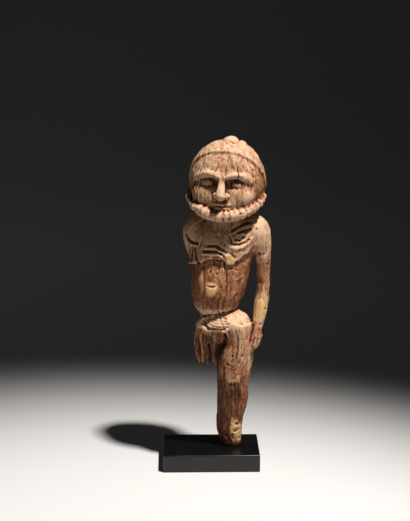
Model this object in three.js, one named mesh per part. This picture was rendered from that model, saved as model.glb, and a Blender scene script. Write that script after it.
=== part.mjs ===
// A carved wooden figure of a bearded ancestor, standing on one leg on a black plinth.
// Millimetres, +Z up. The origin is the middle of the plinth's underside and the front is -Y.
// The figure is one carving. It is described in a frame of its own, turned on the plinth,
// where +X is the figure's left and -Y is its front.

import * as THREE from 'three';
import { edgeTable, triTable } from 'three/addons/objects/MarchingCubes.js';

const { clamp, degToRad, smoothstep } = THREE.MathUtils;

// Driving dimensions of the plinth
const PLINTH_WIDTH = 88;
const PLINTH_DEPTH = 62;
const PLINTH_HEIGHT = 16;
const PLINTH_EDGE = 0.7;
const PLINTH_CORNER = 1.2;
const FOOT_GAP = 0.3;

// Driving dimensions of the figure
const FIGURE_X = 12;
const FIGURE_TURN = -12;
const FOOT_Z = PLINTH_HEIGHT + FOOT_GAP;
const CROWN_Z = 299;
const HEAD = { x: 2.6, y: -2, z: 264, roll: 3 };
const HEAD_HALF = 33.6;
const HEAD_TAPER = 0.16;
const HEAD_FRONT = 25;
const HEAD_BACK = 26;
const HEAD_DROP = 30;
const HEAD_ROUND = 2.3;
const HEAD_DOME = 2.5;
const CAP_THICKNESS = 1.7;
const HEAD_RISE = CROWN_Z - CAP_THICKNESS - HEAD.z;

// How finely the figure is sampled, over what space, and how many faces are kept
const CELL = 1.3;
const SPACE = { low: [-42, -38, FOOT_Z - 1], high: [46, 32, CROWN_Z + 6] };
const FACES = 9700;

// Sections through the figure, from the bottom up. x is the middle of a section and half its
// half width. front and back are its depths before and behind the figure's middle plane.
const LEG = [
  { z: 15.5, x: 7, half: 6.4, front: 3, back: 7 },
  { z: 18.5, x: 6.8, half: 8.4, front: 4.6, back: 9 },
  { z: 24, x: 6, half: 10, front: 6, back: 10.4 },
  { z: 31, x: 5.1, half: 11.2, front: 7.5, back: 11.5 },
  { z: 42, x: 5.4, half: 12, front: 8.5, back: 13 },
  { z: 54, x: 7.2, half: 13.4, front: 9.5, back: 16 },
  { z: 66, x: 8.1, half: 14.3, front: 10, back: 17.5 },
  { z: 75, x: 7.8, half: 13.9, front: 12, back: 14.5 },
  { z: 85, x: 8.8, half: 15.1, front: 14.5, back: 12.5 },
  { z: 98, x: 10, half: 16.4, front: 16, back: 15.5 },
  { z: 110, x: 13, half: 13.6, front: 17.5, back: 18 },
  { z: 124, x: 15.5, half: 10.8, front: 19, back: 18 },
];
const TORN_THIGH = [
  { z: 92, x: -12.5, half: 10.5, front: 9, back: 13 },
  { z: 100, x: -11.5, half: 14, front: 11.5, back: 16.5 },
  { z: 110, x: -11.5, half: 15.6, front: 12.5, back: 18.5 },
  { z: 120, x: -11, half: 15.8, front: 14, back: 19.5 },
  { z: 132, x: -8, half: 15.4, front: 15, back: 18 },
];
const PELVIS = [
  { z: 112, x: 2, half: 22, front: 13, back: 14 },
  { z: 122, x: 0.5, half: 24.6, front: 17, back: 17 },
  { z: 130.5, x: -0.2, half: 25.2, front: 21.5, back: 19 },
  { z: 135, x: -1, half: 22.8, front: 21.8, back: 18.5 },
  { z: 140, x: -3.4, half: 18.2, front: 19.2, back: 16.5 },
  { z: 145, x: -4.8, half: 15.2, front: 16, back: 14 },
  { z: 151, x: -4.8, half: 13, front: 13, back: 13 },
];
const TRUNK = [
  { z: 134, x: -4, half: 12, front: 10, back: 13 },
  { z: 142, x: -4.9, half: 15.1, front: 13, back: 13 },
  { z: 147, x: -4.7, half: 17.6, front: 19, back: 13.5 },
  { z: 155, x: -4.8, half: 21.9, front: 23.6, back: 14.5 },
  { z: 166, x: -4.6, half: 24.8, front: 25, back: 16 },
  { z: 180, x: -3.7, half: 26.4, front: 22.5, back: 17 },
  { z: 192, x: -2.4, half: 27.8, front: 19.5, back: 18 },
  { z: 205, x: 0.5, half: 27.6, front: 18.5, back: 19 },
  { z: 217, x: 1.5, half: 25, front: 15.5, back: 18 },
  { z: 227, x: 2, half: 17, front: 11, back: 15 },
  { z: 242, x: 2, half: 14, front: 9, back: 13 },
];
const ARM = [
  { z: 104, x: 21, y: -4, half: 3, front: 4, back: 4 },
  { z: 108, x: 22.8, y: -4, half: 4.4, front: 6, back: 6 },
  { z: 114, x: 26.6, y: -3, half: 6.4, front: 8, back: 7 },
  { z: 121, x: 28.7, y: -1.5, half: 6.6, front: 7.5, back: 7 },
  { z: 127.5, x: 29.6, y: 0, half: 5.1, front: 6, back: 6 },
  { z: 134, x: 31, y: 1, half: 5.5, front: 6.2, back: 6.2 },
  { z: 147, x: 33, y: 3.5, half: 6.2, front: 7, back: 7 },
  { z: 156, x: 33.9, y: 5, half: 6.3, front: 7, back: 7 },
  { z: 168, x: 34.8, y: 5.5, half: 5.7, front: 6.6, back: 7 },
  { z: 181, x: 35, y: 5, half: 6.1, front: 7.2, back: 7.4 },
  { z: 195, x: 34.5, y: 4, half: 7.2, front: 8.5, back: 8.5 },
  { z: 206, x: 34, y: 3, half: 7.4, front: 8.6, back: 9 },
  { z: 214, x: 31, y: 2, half: 6.4, front: 7, back: 7.5 },
];
const TORN_ARM = [
  { z: 186, x: -27, y: 4, half: 4.6, front: 6, back: 7 },
  { z: 196, x: -27.4, y: 3.5, half: 6.2, front: 8.5, back: 8.5 },
  { z: 203, x: -28.2, y: 3, half: 7.4, front: 11, back: 10 },
  { z: 214, x: -28, y: 2, half: 8, front: 11, back: 11 },
];

// Where the limbs and the trunk end inside their neighbours. The pelvis runs on into the left thigh.
const TRUNK_ENDS = [134, 242];
const PELVIS_ENDS = [129, 151];
const PELVIS_RUN = 14;
const THIGH_TOP = 134;
const ARM_ENDS = [103, 215];
const TORN_ARM_ENDS = [186, 214];
const SPLINTERS_Z = 96.5;
const NECK_Z = 220;

// Rounded forms that swell out of the sections: middle, radii and how softly each joins them
const INNER_THIGH = { at: [7.5, -11, 103], radii: [8, 6.5, 12], blend: 2 };
const BUTTOCKS = [-11, 13].map((x) => ({ at: [x, 10, 120], radii: [13, 12.5, 16], blend: 3 }));
const UPPER_BACK = { at: [2, 7, 215], radii: [25, 10.5, 15], blend: 6 };
const LEFT_SHOULDER = { at: [25.5, 2, 215], radii: [15.8, 13.5, 17.5], blend: 5 };
const RIGHT_SHOULDER = { at: [-22.5, 2, 213], radii: [15.8, 13.5, 19], blend: 4 };

// Forms of the head, in its own frame. Those of the face are measured from its middle line.
// The face is a plain, calm one on even proportions, in the manner of the rest of the carving.
const EYE_X = 13.4;
const BROW_Z = 8;
const NOSE_BASE_Z = -13;
const MOUTH_Z = -20;
const JAW = { at: [0, -5, -17], radii: [28.5, 21, 16.5], blend: 4 };
const EYE_SOCKET = { at: [EYE_X, -26.5, 0], radii: [10, 6, 6], blend: 3 };
const EYE = { at: [EYE_X, -19.2, -0.4], radii: [6.8, 4, 3.4], blend: 1 };
const CHEEK = { at: [17, -17, -11], radii: [10, 6.5, 8], blend: 5 };
const NOSTRIL = { at: [4.4, -26.6, NOSE_BASE_Z + 2.6], radii: [3.2, 3.6, 2.8], blend: 1.5 };
const UPPER_LIP = { at: [0, -23.6, MOUTH_Z + 1.9], radii: [9.6, 3.6, 1.9], blend: 1.2 };
const LOWER_LIP = { at: [0, -23.2, MOUTH_Z - 1.8], radii: [8.4, 3.8, 2.1], blend: 1.2 };
const BROW = { path: [[24, -17, 3], [14, -23.4, BROW_Z], [3, -26, BROW_Z - 2]], radius: 2.6, blend: 3.5 };
const NOSE = {
  path: [[0, -25, BROW_Z - 3], [0, -28.4, -4], [0, -30.4, NOSE_BASE_Z + 3.2]],
  radius: 2.4,
  flare: 2.2,
  blend: 2.5,
};
const CROWN_KNOB = { at: [1.5, 1, HEAD_RISE], radii: [7, 9, 5.6], blend: 1.2 };
const CROWN_BUMP = { at: [11.5, 1, HEAD_RISE - 2.2], radii: [4.4, 7, 4.4], blend: 1 };

// The notched beard is a band that follows the jaw from ear to ear, broadest at the chin
const BEARD_HALF = 32.8;
const BEARD_FRONT = 26.4;
const BEARD_TOP = -13.2;
const BEARD_DROP = 15.8;
const BEARD_SWEEP = 100;
const BEARD_END = 3;
const BEARD_CHIN = 5.6;
const BEARD_NOTCH = 1.2;
const BEARD_NOTCHES = 23;
const BEARD_BLEND = 2.5;

// The cap of hair lies behind a plane that leans back from the forehead to the nape
const CAP_PLANE = new THREE.Vector3(0, 0.8, 0.6);
const CAP_EDGE = 0.6;

// Lines of the carving, as the front shows them: x and z in the figure's frame
const YOKE_EDGE = [
  [-30, 188], [-18, 191.4], [-10.8, 194.8], [-4, 196], [1, 194.8], [5.5, 191.2],
  [10.9, 190.7], [14.5, 193.6], [22.5, 199.3], [28.7, 206], [40, 214],
];
const YOKE_THICKNESS = 3;
const YOKE_TOP = 230;
const CHEST_RIDGES = [
  [[-15.3, 204.2], [-9.9, 204.9], [-4.5, 205.9], [1.9, 202.1], [5.5, 197.7]],
  [[-15.3, 198.7], [-7.2, 200.6], [-0.8, 200.2], [3.7, 195.9]],
];
const CHEST_GROOVES = [
  [[-10, 207.3], [-3.6, 208.1], [1.2, 205.8], [7.6, 200.8]],
  [[-14.5, 201.6], [-7, 202.6], [-2, 202.7], [2.4, 199.4]],
];
const SHOULDER_GROOVE = [[12, 221.4], [21.4, 225], [29, 227]];
const BREAST = { x: 19, z: 214, inner: 2.8, outer: 11, flatten: 0.74, turns: 1.75, steps: 30 };
const TORN_SLOT = [[-24, 203], [-23.4, 197], [-23.6, 190]];
const NAVEL = { x: -6.6, z: 169, half: 4.6, rise: 5.6, height: 1.2 };
const BELT_RIM = [[-19.5, 134.4], [-13.5, 131.2], [-8.9, 129.6], [-2.5, 129], [4.7, 129.8], [9.5, 132]];
const BELT_ARCH = [[-19.5, 134.4], [-16.4, 138.4], [-10.5, 140.8], [-2, 140.4]];
const BELT_GROOVE = [[-15.4, 137], [-13.4, 133.4], [-6, 131.8], [4, 132.6]];
const KNEE_PIT = { x: 10.8, z: 83.5, half: 6, rise: 8, depth: 0.8 };
const TEARS = [
  [[-21.6, 94], [-21.4, 113]],
  [[-12.8, 94], [-12, 110]],
  [[-5.4, 90], [-6.4, 108], [-9, 118]],
];
const TORN_RIDGES = [
  [[-17.6, 95], [-18.2, 122]],
  [[-9.4, 95], [-9.2, 113]],
];
const HIP_TILT = 0.2;
const SPINE = { x: -1, half: 6, depth: 1.6 };

// The value of each named size between the two stations around z, on a smooth curve
function sectionAt(stations, z) {
  const last = stations.length - 1;
  if (z <= stations[0].z) return stations[0];
  if (z >= stations[last].z) return stations[last];
  const i = stations.findIndex((station) => station.z > z) - 1;
  const [low, high] = [stations[i], stations[i + 1]];
  const before = stations[Math.max(i - 1, 0)];
  const after = stations[Math.min(i + 2, last)];
  const span = high.z - low.z;
  const t = (z - low.z) / span;
  const section = { z };
  for (const key of Object.keys(low)) {
    if (key === 'z') continue;
    const leaving = (high[key] - before[key]) / (high.z - before.z) * span;
    const arriving = (after[key] - low[key]) / (after.z - low.z) * span;
    section[key] = low[key] * (1 + 2 * t) * (1 - t) ** 2 + leaving * t * (1 - t) ** 2
      + high[key] * t * t * (3 - 2 * t) + arriving * t * t * (t - 1);
  }
  return section;
}

// The fields below are negative inside a form and grow by about a millimetre each millimetre

function union(a, b, blend) {
  const h = Math.max(blend - Math.abs(a - b), 0) / blend;
  return Math.min(a, b) - h * h * blend / 4;
}

function without(a, b, blend) {
  return -union(-a, b, blend);
}

function intersection(a, b, blend) {
  return -union(-a, -b, blend);
}

function ellipsoid(x, y, z, rx, ry, rz) {
  const r = Math.hypot(x / rx, y / ry, z / rz);
  return r < 1e-6 ? -Math.min(rx, ry, rz) : Math.hypot(x, y, z) * (1 - 1 / r);
}

// Joins a rounded form to the field, or cuts it out, at a point of the form's own frame
function addRound(field, { at, radii, blend }, x, y, z) {
  return union(field, ellipsoid(x - at[0], y - at[1], z - at[2], ...radii), blend);
}

function cutRound(field, { at, radii, blend }, x, y, z) {
  return without(field, ellipsoid(x - at[0], y - at[1], z - at[2], ...radii), blend);
}

// How far z lies outside a stretch from low to high
function beyond(z, [low, high]) {
  return Math.max(low - z, z - high);
}

// The field of a round bar along a line of points, with its radius by the place along it
function tubeAlong(points, radiusAt) {
  const ends = points.slice(1).map((end, i) => {
    const step = end.clone().sub(points[i]);
    return { start: points[i], step, i };
  });
  const offset = new THREE.Vector3();
  return (x, y, z) => {
    let nearest = Infinity;
    for (const { start, step, i } of ends) {
      offset.set(x - start.x, y - start.y, z - start.z);
      const t = clamp(offset.dot(step) / step.lengthSq(), 0, 1);
      const radius = radiusAt((i + t) / ends.length);
      nearest = Math.min(nearest, offset.addScaledVector(step, -t).length() - radius);
    }
    return nearest;
  };
}

// The field of a bar with the given sections, squarer than an ellipse where squareness is over 2
function loft(stations, squareness) {
  let section = { z: NaN };
  return (x, y, z) => {
    if (z !== section.z) section = { y: 0, ...sectionAt(stations, z), z };
    const dx = x - section.x;
    const dy = y - section.y;
    const depth = dy < 0 ? section.front : section.back;
    const level = Math.abs(dx / section.half) ** squareness + Math.abs(dy / depth) ** squareness;
    const r = level ** (1 / squareness);
    return r < 1e-6 ? -Math.min(section.half, depth) : Math.hypot(dx, dy) * (1 - 1 / r);
  };
}

function smoothCurve(points) {
  return new THREE.CatmullRomCurve3(points.map((point) => new THREE.Vector3(...point))).getPoints(8);
}

const beardSteps = 40;
const beardPath = Array.from({ length: beardSteps + 1 }, (_, i) => {
  const angle = degToRad(BEARD_SWEEP * (2 * i / beardSteps - 1));
  const ahead = Math.max(Math.cos(angle), 0);
  return new THREE.Vector3(
    BEARD_HALF * Math.sin(angle),
    1 - BEARD_FRONT * Math.cos(angle),
    BEARD_TOP - BEARD_DROP * ahead ** 1.3,
  );
});
const beardTube = tubeAlong(beardPath, (along) => {
  const radius = BEARD_END + (BEARD_CHIN - BEARD_END) * Math.sin(Math.PI * along);
  return radius - BEARD_NOTCH * (1 - Math.abs(Math.sin(Math.PI * BEARD_NOTCHES * along)));
});
const browTube = tubeAlong(smoothCurve(BROW.path), () => BROW.radius);
const noseTube = tubeAlong(smoothCurve(NOSE.path), (along) => NOSE.radius + NOSE.flare * along);

function headField(x, y, z) {
  const roll = degToRad(HEAD.roll);
  const across = (x - HEAD.x) * Math.cos(roll) - (z - HEAD.z) * Math.sin(roll);
  const up = (x - HEAD.x) * Math.sin(roll) + (z - HEAD.z) * Math.cos(roll);
  const deep = y - HEAD.y;
  const half = HEAD_HALF * (1 - HEAD_TAPER * smoothstep(up, -5, HEAD_RISE));
  const depth = deep < 0 ? HEAD_FRONT : HEAD_BACK;
  const height = up < 0 ? HEAD_DROP : HEAD_RISE;
  const level = Math.abs(across / half) ** HEAD_ROUND + Math.abs(deep / depth) ** HEAD_ROUND;
  const r = (level ** (HEAD_DOME / HEAD_ROUND) + Math.abs(up / height) ** HEAD_DOME) ** (1 / HEAD_DOME);
  let field = Math.hypot(across, deep, up) * (1 - 1 / Math.max(r, 1e-6));
  field = addRound(field, JAW, across, deep, up);
  if (deep < 5) {
    const side = Math.abs(across);
    field = cutRound(field, EYE_SOCKET, side, deep, up);
    field = union(field, browTube(side, deep, up), BROW.blend);
    field = addRound(field, EYE, side, deep, up);
    field = addRound(field, CHEEK, side, deep, up);
    field = union(field, noseTube(across, deep, up), NOSE.blend);
    field = addRound(field, NOSTRIL, side, deep, up);
    field = addRound(field, UPPER_LIP, across, deep, up);
    field = addRound(field, LOWER_LIP, across, deep, up);
  }
  if (up < 0) field = union(field, beardTube(across, deep, up), BEARD_BLEND);
  const behind = CAP_PLANE.y * deep + CAP_PLANE.z * up - CAP_EDGE;
  field -= CAP_THICKNESS * smoothstep(behind, 0, 1.8) * smoothstep(up, -26, -18);
  field = addRound(field, CROWN_KNOB, across, deep, up);
  return addRound(field, CROWN_BUMP, across, deep, up);
}

// How high a curve of x, z points lies at x
function heightOf(curve, x) {
  const i = clamp(curve.findIndex((point) => point[0] > x), 1, curve.length - 1);
  const [[x0, z0], [x1, z1]] = [curve[i - 1], curve[i]];
  return THREE.MathUtils.lerp(z0, z1, smoothstep(x, x0, x1));
}

const legField = loft(LEG, 2.3);
const thighField = loft(TORN_THIGH, 2.4);
const pelvisField = loft(PELVIS, 2.2);
const trunkField = loft(TRUNK, 2.25);
const armField = loft(ARM, 2.2);
const tornArmField = loft(TORN_ARM, 2.2);

function figureField(x, y, z) {
  const tilt = HIP_TILT * clamp(x, -25, 25) * smoothstep(z, 131, 142) * (1 - smoothstep(z, 150, 180));
  const tilted = z - tilt;
  let trunk = intersection(trunkField(x, y, tilted), beyond(z, TRUNK_ENDS), 3);
  const yoke = smoothstep(z, heightOf(YOKE_EDGE, x) - 1.2, heightOf(YOKE_EDGE, x) + 0.6);
  trunk -= YOKE_THICKNESS * yoke * smoothstep(-y, 2, 10);
  const hem = PELVIS_ENDS[0] - PELVIS_RUN * smoothstep(x, 2, 12);
  let field = intersection(pelvisField(x, y, tilted), beyond(tilted, [hem, PELVIS_ENDS[1]]), 1.5);
  field = union(field, trunk, 1.5);
  const splinters = SPLINTERS_Z + 2 * Math.sin(x * 0.7 + 1) + 1.6 * Math.sin(x * 1.7 + y * 0.4);
  field = union(field, intersection(thighField(x, y, z), beyond(z, [splinters, THIGH_TOP]), 1.5), 1.2);
  field = union(field, Math.max(legField(x, y, z), z - THIGH_TOP), 5);
  field = addRound(field, INNER_THIGH, x, y, z);
  for (const buttock of BUTTOCKS) field = addRound(field, buttock, x, y, z);
  field = addRound(field, UPPER_BACK, x, y, z);
  field = addRound(field, LEFT_SHOULDER, x, y, z);
  const armBlend = 1.4 + 5 * smoothstep(z, 192, 208);
  field = union(field, intersection(armField(x, y, z), beyond(z, ARM_ENDS), 3), armBlend);
  field = addRound(field, RIGHT_SHOULDER, x, y, z);
  field = union(field, intersection(tornArmField(x, y, z), beyond(z, TORN_ARM_ENDS), 2), 2);
  if (z > NECK_Z) field = union(field, headField(x, y, z), 2);
  return intersection(field, FOOT_Z - z, 0.4);
}

// Distance from x, z to a line of points as the front shows it
function distanceTo(line, x, z) {
  let nearest = Infinity;
  for (let i = 1; i < line.length; i += 1) {
    const [x0, z0] = line[i - 1];
    const [dx, dz] = [line[i][0] - x0, line[i][1] - z0];
    const t = clamp(((x - x0) * dx + (z - z0) * dz) / (dx * dx + dz * dz), 0, 1);
    nearest = Math.min(nearest, Math.hypot(x - x0 - t * dx, z - z0 - t * dz));
  }
  return nearest;
}

function bump(distance, width) {
  return 1 - smoothstep(distance, 0, width);
}

function spiral({ x, z, inner, outer, flatten, turns, steps }) {
  return Array.from({ length: steps + 1 }, (_, i) => {
    const angle = 2 * Math.PI * turns * i / steps;
    const radius = inner + (outer - inner) * i / steps;
    return [x + radius * Math.cos(angle), z + flatten * radius * Math.sin(angle)];
  });
}

// Each stroke stands up from the plain form along its line, or is cut into it
const STROKES = [
  ...CHEST_RIDGES.map((line) => ({ line, height: 1.2, width: 2.4 })),
  ...CHEST_GROOVES.map((line) => ({ line, height: -1.2, width: 2 })),
  ...TEARS.map((line) => ({ line, height: -1.7, width: 2.6 })),
  ...TORN_RIDGES.map((line) => ({ line, height: 1, width: 3 })),
  { line: spiral(BREAST), height: 1.3, width: 2.5 },
  { line: SHOULDER_GROOVE, height: -0.9, width: 2 },
  { line: TORN_SLOT, height: -2.4, width: 3 },
  { line: BELT_RIM, height: 2, width: 2.2 },
  { line: BELT_ARCH, height: 1.2, width: 2.2 },
  { line: BELT_GROOVE, height: -2, width: 2 },
];

// Height of the low carving above the plain form, on the surfaces that face the front
function frontRelief(x, z) {
  let height = 0;
  for (const stroke of STROKES) height += stroke.height * bump(distanceTo(stroke.line, x, z), stroke.width);
  const ring = Math.hypot((x - NAVEL.x) / NAVEL.half, (z - NAVEL.z) / NAVEL.rise);
  height += NAVEL.height * bump(Math.abs(ring - 0.8), 0.5);
  const pit = Math.hypot((x - KNEE_PIT.x) / KNEE_PIT.half, (z - KNEE_PIT.z) / KNEE_PIT.rise);
  return height - KNEE_PIT.depth * bump(pit, 1);
}

// The plain back has a furrow down the spine
function backRelief(x, z) {
  const along = smoothstep(z, 140, 152) * (1 - smoothstep(z, 205, 222));
  return -SPINE.depth * along * bump(Math.abs(x - SPINE.x), SPINE.half);
}

// Split grain runs down the fronts of the torn thigh and the torn arm in uneven ridges
function tornRelief(x, y, z) {
  const thigh = smoothstep(-x, -4, 0) * smoothstep(z, 88, 95) * (1 - smoothstep(z, 122, 127));
  const arm = smoothstep(-x, 23, 26) * smoothstep(z, 184, 188) * (1 - smoothstep(z, 201, 205));
  const across = x + 0.35 * y + 1.6 * Math.sin(z * 0.13);
  const ridges = 0.45 * Math.sin(across * 0.83) + 0.3 * Math.sin(across * 1.37 + z * 0.09);
  return Math.max(thigh, arm) * (1 - smoothstep(y, 2, 10)) * ridges;
}

// The closed skin where the field is nought, sampled on cubes of the given size
function skinOf(field, { low, high }, size) {
  const counts = high.map((value, axis) => Math.ceil((value - low[axis]) / size) + 1);
  const strides = [1, counts[0], counts[0] * counts[1]];
  const values = new Float32Array(counts[0] * counts[1] * counts[2]);
  for (let k = 0; k < counts[2]; k += 1) {
    for (let j = 0; j < counts[1]; j += 1) {
      for (let i = 0; i < counts[0]; i += 1) {
        values[i + j * strides[1] + k * strides[2]] =
          field(low[0] + i * size, low[1] + j * size, low[2] + k * size);
      }
    }
  }
  const corners = [[0, 0, 0], [1, 0, 0], [1, 1, 0], [0, 1, 0], [0, 0, 1], [1, 0, 1], [1, 1, 1], [0, 1, 1]];
  const level = [[0, 1], [1, 2], [3, 2], [0, 3]];
  const raised = level.map((edge) => edge.map((corner) => corner + 4));
  const edges = [...level, ...raised, ...[0, 1, 2, 3].map((corner) => [corner, corner + 4])];
  const points = [];
  const faces = [];
  const made = new Map();
  const pointOn = (at, edge) => {
    const [from, to] = edges[edge].map((corner) => corners[corner]);
    const axis = to.findIndex((value, n) => value !== from[n]);
    const start = at.map((value, n) => value + from[n]);
    const index = start[0] + start[1] * strides[1] + start[2] * strides[2];
    const key = index * 3 + axis;
    if (!made.has(key)) {
      const [a, b] = [values[index], values[index + strides[axis]]];
      const point = start.map((value, n) => low[n] + value * size);
      point[axis] += size * clamp(a / (a - b), 0.05, 0.95);
      made.set(key, points.push(point) - 1);
    }
    return made.get(key);
  };
  for (let k = 0; k < counts[2] - 1; k += 1) {
    for (let j = 0; j < counts[1] - 1; j += 1) {
      for (let i = 0; i < counts[0] - 1; i += 1) {
        const base = i + j * strides[1] + k * strides[2];
        let kind = 0;
        corners.forEach((corner, n) => {
          const index = base + corner[0] + corner[1] * strides[1] + corner[2] * strides[2];
          if (values[index] < 0) kind |= 1 << n;
        });
        if (edgeTable[kind] === 0) continue;
        for (let n = kind * 16; triTable[n] >= 0; n += 3) {
          const face = [triTable[n], triTable[n + 1], triTable[n + 2]];
          faces.push(face.map((edge) => pointOn([i, j, k], edge)).reverse());
        }
      }
    }
  }
  return { points, faces };
}

function normalOf([a, b, c]) {
  const [ux, uy, uz] = [b[0] - a[0], b[1] - a[1], b[2] - a[2]];
  const [vx, vy, vz] = [c[0] - a[0], c[1] - a[1], c[2] - a[2]];
  return [uy * vz - uz * vy, uz * vx - ux * vz, ux * vy - uy * vx];
}

function dot(a, b) {
  return a[0] * b[0] + a[1] * b[1] + a[2] * b[2];
}

function distance(a, b) {
  return Math.hypot(a[0] - b[0], a[1] - b[1], a[2] - b[2]);
}

// Moves each point along its normal by the height that the carving has there
function carve({ points, faces }, heightAt) {
  const normals = points.map(() => [0, 0, 0]);
  for (const face of faces) {
    const normal = normalOf(face.map((n) => points[n]));
    for (const n of face) normal.forEach((value, axis) => { normals[n][axis] += value; });
  }
  points.forEach((point, n) => {
    const length = Math.hypot(...normals[n]) || 1;
    const normal = normals[n].map((value) => value / length);
    const height = heightAt(point, normal);
    normal.forEach((value, axis) => { point[axis] += height * value; });
  });
}

// The point where the squared distances to the planes gathered in q are least, and that sum.
// q holds the upper half of a symmetric 4 by 4 matrix, row by row.
function bestPoint(q, middle) {
  const pull = 1e-3;
  const [a, b, c, d, e, f, g, h, i, j] = q;
  const matrix = new THREE.Matrix3(a + pull, b, c, b, e + pull, f, c, f, h + pull);
  const [mx, my, mz] = middle;
  const target = new THREE.Vector3(pull * mx - d, pull * my - g, pull * mz - i);
  const { x, y, z } = target.applyMatrix3(matrix.invert());
  const cost = a * x * x + 2 * b * x * y + 2 * c * x * z + 2 * d * x + e * y * y + 2 * f * y * z
    + 2 * g * y + h * z * z + 2 * i * z + j;
  return { point: [x, y, z], cost };
}

// Whether a triangle neither turns over nor becomes a needle
function keepsShape(before, after) {
  const [old, now] = [normalOf(before), normalOf(after)];
  const [oldSize, size] = [Math.hypot(...old), Math.hypot(...now)];
  const sides = after.map((corner, n) => distance(corner, after[(n + 1) % 3]));
  return size > Math.min(0.15 * Math.max(...sides) ** 2, oldSize) && dot(old, now) > 0.3 * size * oldSize;
}

// Merges neighbouring points, cheapest change of shape first, until few enough faces are left.
// A larger weight keeps a region finer.
function simplify(skin, target, weightAt) {
  const { points } = skin;
  let { faces } = skin;
  const planes = points.map(() => new Array(10).fill(0));
  for (const face of faces) {
    const normal = normalOf(face.map((n) => points[n]));
    const length = Math.hypot(...normal) || 1;
    const [a, b, c] = normal.map((value) => value / length);
    const d = -dot([a, b, c], points[face[0]]);
    const plane = [a * a, a * b, a * c, a * d, b * b, b * c, b * d, c * c, c * d, d * d];
    const weight = length * weightAt(points[face[0]], [a, b, c]);
    for (const n of face) plane.forEach((value, m) => { planes[n][m] += value * weight; });
  }
  while (faces.length > target) {
    const around = points.map(() => []);
    faces.forEach((face, n) => face.forEach((corner) => around[corner].push(n)));
    const edges = [];
    for (const face of faces) {
      face.forEach((from, n) => {
        const to = face[(n + 1) % 3];
        if (from > to) return;
        const sum = planes[from].map((value, m) => value + planes[to][m]);
        const middle = points[from].map((value, axis) => (value + points[to][axis]) / 2);
        const { point, cost } = bestPoint(sum, middle);
        edges.push({ from, to, point, sum, cost: cost + 2e-3 * distance(points[from], points[to]) ** 2 });
      });
    }
    edges.sort((one, other) => one.cost - other.cost);
    const busy = new Uint8Array(points.length);
    const gone = new Uint8Array(faces.length);
    let left = faces.length;
    const enough = Math.max(target, Math.floor(faces.length * 0.85));
    for (const { from, to, point, sum } of edges) {
      if (left <= enough) break;
      if (busy[from] || busy[to]) continue;
      const ringOf = (n) => new Set(around[n].flatMap((face) => faces[face]));
      const [ring, otherRing] = [ringOf(from), ringOf(to)];
      const shared = [...ring].filter((n) => otherRing.has(n) && n !== from && n !== to);
      if (shared.length !== 2) continue;
      const both = around[from].filter((face) => faces[face].includes(to));
      const moved = [...around[from], ...around[to]].filter((face) => !both.includes(face));
      const sound = moved.every((face) => {
        const before = faces[face].map((n) => points[n]);
        return keepsShape(before, faces[face].map((n) => (n === from || n === to ? point : points[n])));
      });
      if (!sound) continue;
      points[from] = point;
      planes[from] = sum;
      for (const face of both) gone[face] = 1;
      left -= both.length;
      for (const face of around[to]) faces[face] = faces[face].map((n) => (n === to ? from : n));
      for (const n of [...ring, ...otherRing]) busy[n] = 1;
    }
    if (left === faces.length) break;
    faces = faces.filter((_, n) => !gone[n]);
  }
  return { points, faces };
}

function geometryOf({ points, faces }) {
  const used = new Map();
  const positions = [];
  const index = faces.flat().map((n) => {
    if (!used.has(n)) {
      used.set(n, used.size);
      positions.push(...points[n]);
    }
    return used.get(n);
  });
  const geometry = new THREE.BufferGeometry();
  geometry.setAttribute('position', new THREE.Float32BufferAttribute(positions, 3));
  geometry.setIndex(index);
  return geometry;
}

function makeStatuette() {
  const skin = skinOf(figureField, SPACE, CELL);
  carve(skin, ([x, y, z], normal) => {
    const facing = smoothstep(-normal[1], 0.15, 0.5) * (z < YOKE_TOP ? 1 : 0);
    const behind = smoothstep(normal[1], 0.3, 0.8);
    const upright = 1 - smoothstep(Math.abs(normal[2]), 0.6, 0.9);
    return facing * frontRelief(x, z) + behind * backRelief(x, z) + upright * tornRelief(x, y, z);
  });
  const carvedFront = ([, , z], normal) => (z > 190 && normal[1] < 0.1 ? 6 : 1);
  const geometry = geometryOf(simplify(skin, FACES, carvedFront));
  const wood = new THREE.MeshStandardMaterial({ color: '#a87550', roughness: 0.78, metalness: 0 });
  const mesh = new THREE.Mesh(geometry, wood);
  mesh.name = 'statuette';
  return mesh;
}

function makePlinth() {
  const [x, y] = [PLINTH_WIDTH / 2 - PLINTH_EDGE, PLINTH_DEPTH / 2 - PLINTH_EDGE];
  const outline = new THREE.Shape();
  outline.moveTo(-x + PLINTH_CORNER, -y);
  for (const [cx, cy, start] of [[x, -y, -90], [x, y, 0], [-x, y, 90], [-x, -y, 180]]) {
    const [px, py] = [cx - Math.sign(cx) * PLINTH_CORNER, cy - Math.sign(cy) * PLINTH_CORNER];
    outline.absarc(px, py, PLINTH_CORNER, degToRad(start), degToRad(start + 90), false);
  }
  const geometry = new THREE.ExtrudeGeometry(outline, {
    depth: PLINTH_HEIGHT - 2 * PLINTH_EDGE,
    bevelSize: PLINTH_EDGE,
    bevelThickness: PLINTH_EDGE,
    bevelSegments: 2,
    curveSegments: 2,
  });
  const lacquer = new THREE.MeshStandardMaterial({ color: '#121212', roughness: 0.35, metalness: 0 });
  const mesh = new THREE.Mesh(geometry, lacquer);
  mesh.name = 'plinth';
  mesh.position.z = PLINTH_EDGE;
  return mesh;
}

const figure = new THREE.Group();
figure.position.x = FIGURE_X;
figure.rotation.z = degToRad(FIGURE_TURN);
figure.add(makeStatuette());

const statuetteOnPlinth = new THREE.Group();
statuetteOnPlinth.add(makePlinth(), figure);

export default statuetteOnPlinth;
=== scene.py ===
"""A weathered carved wooden figure on a black lacquered plinth, with a plain stage round it."""

import math

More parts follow.
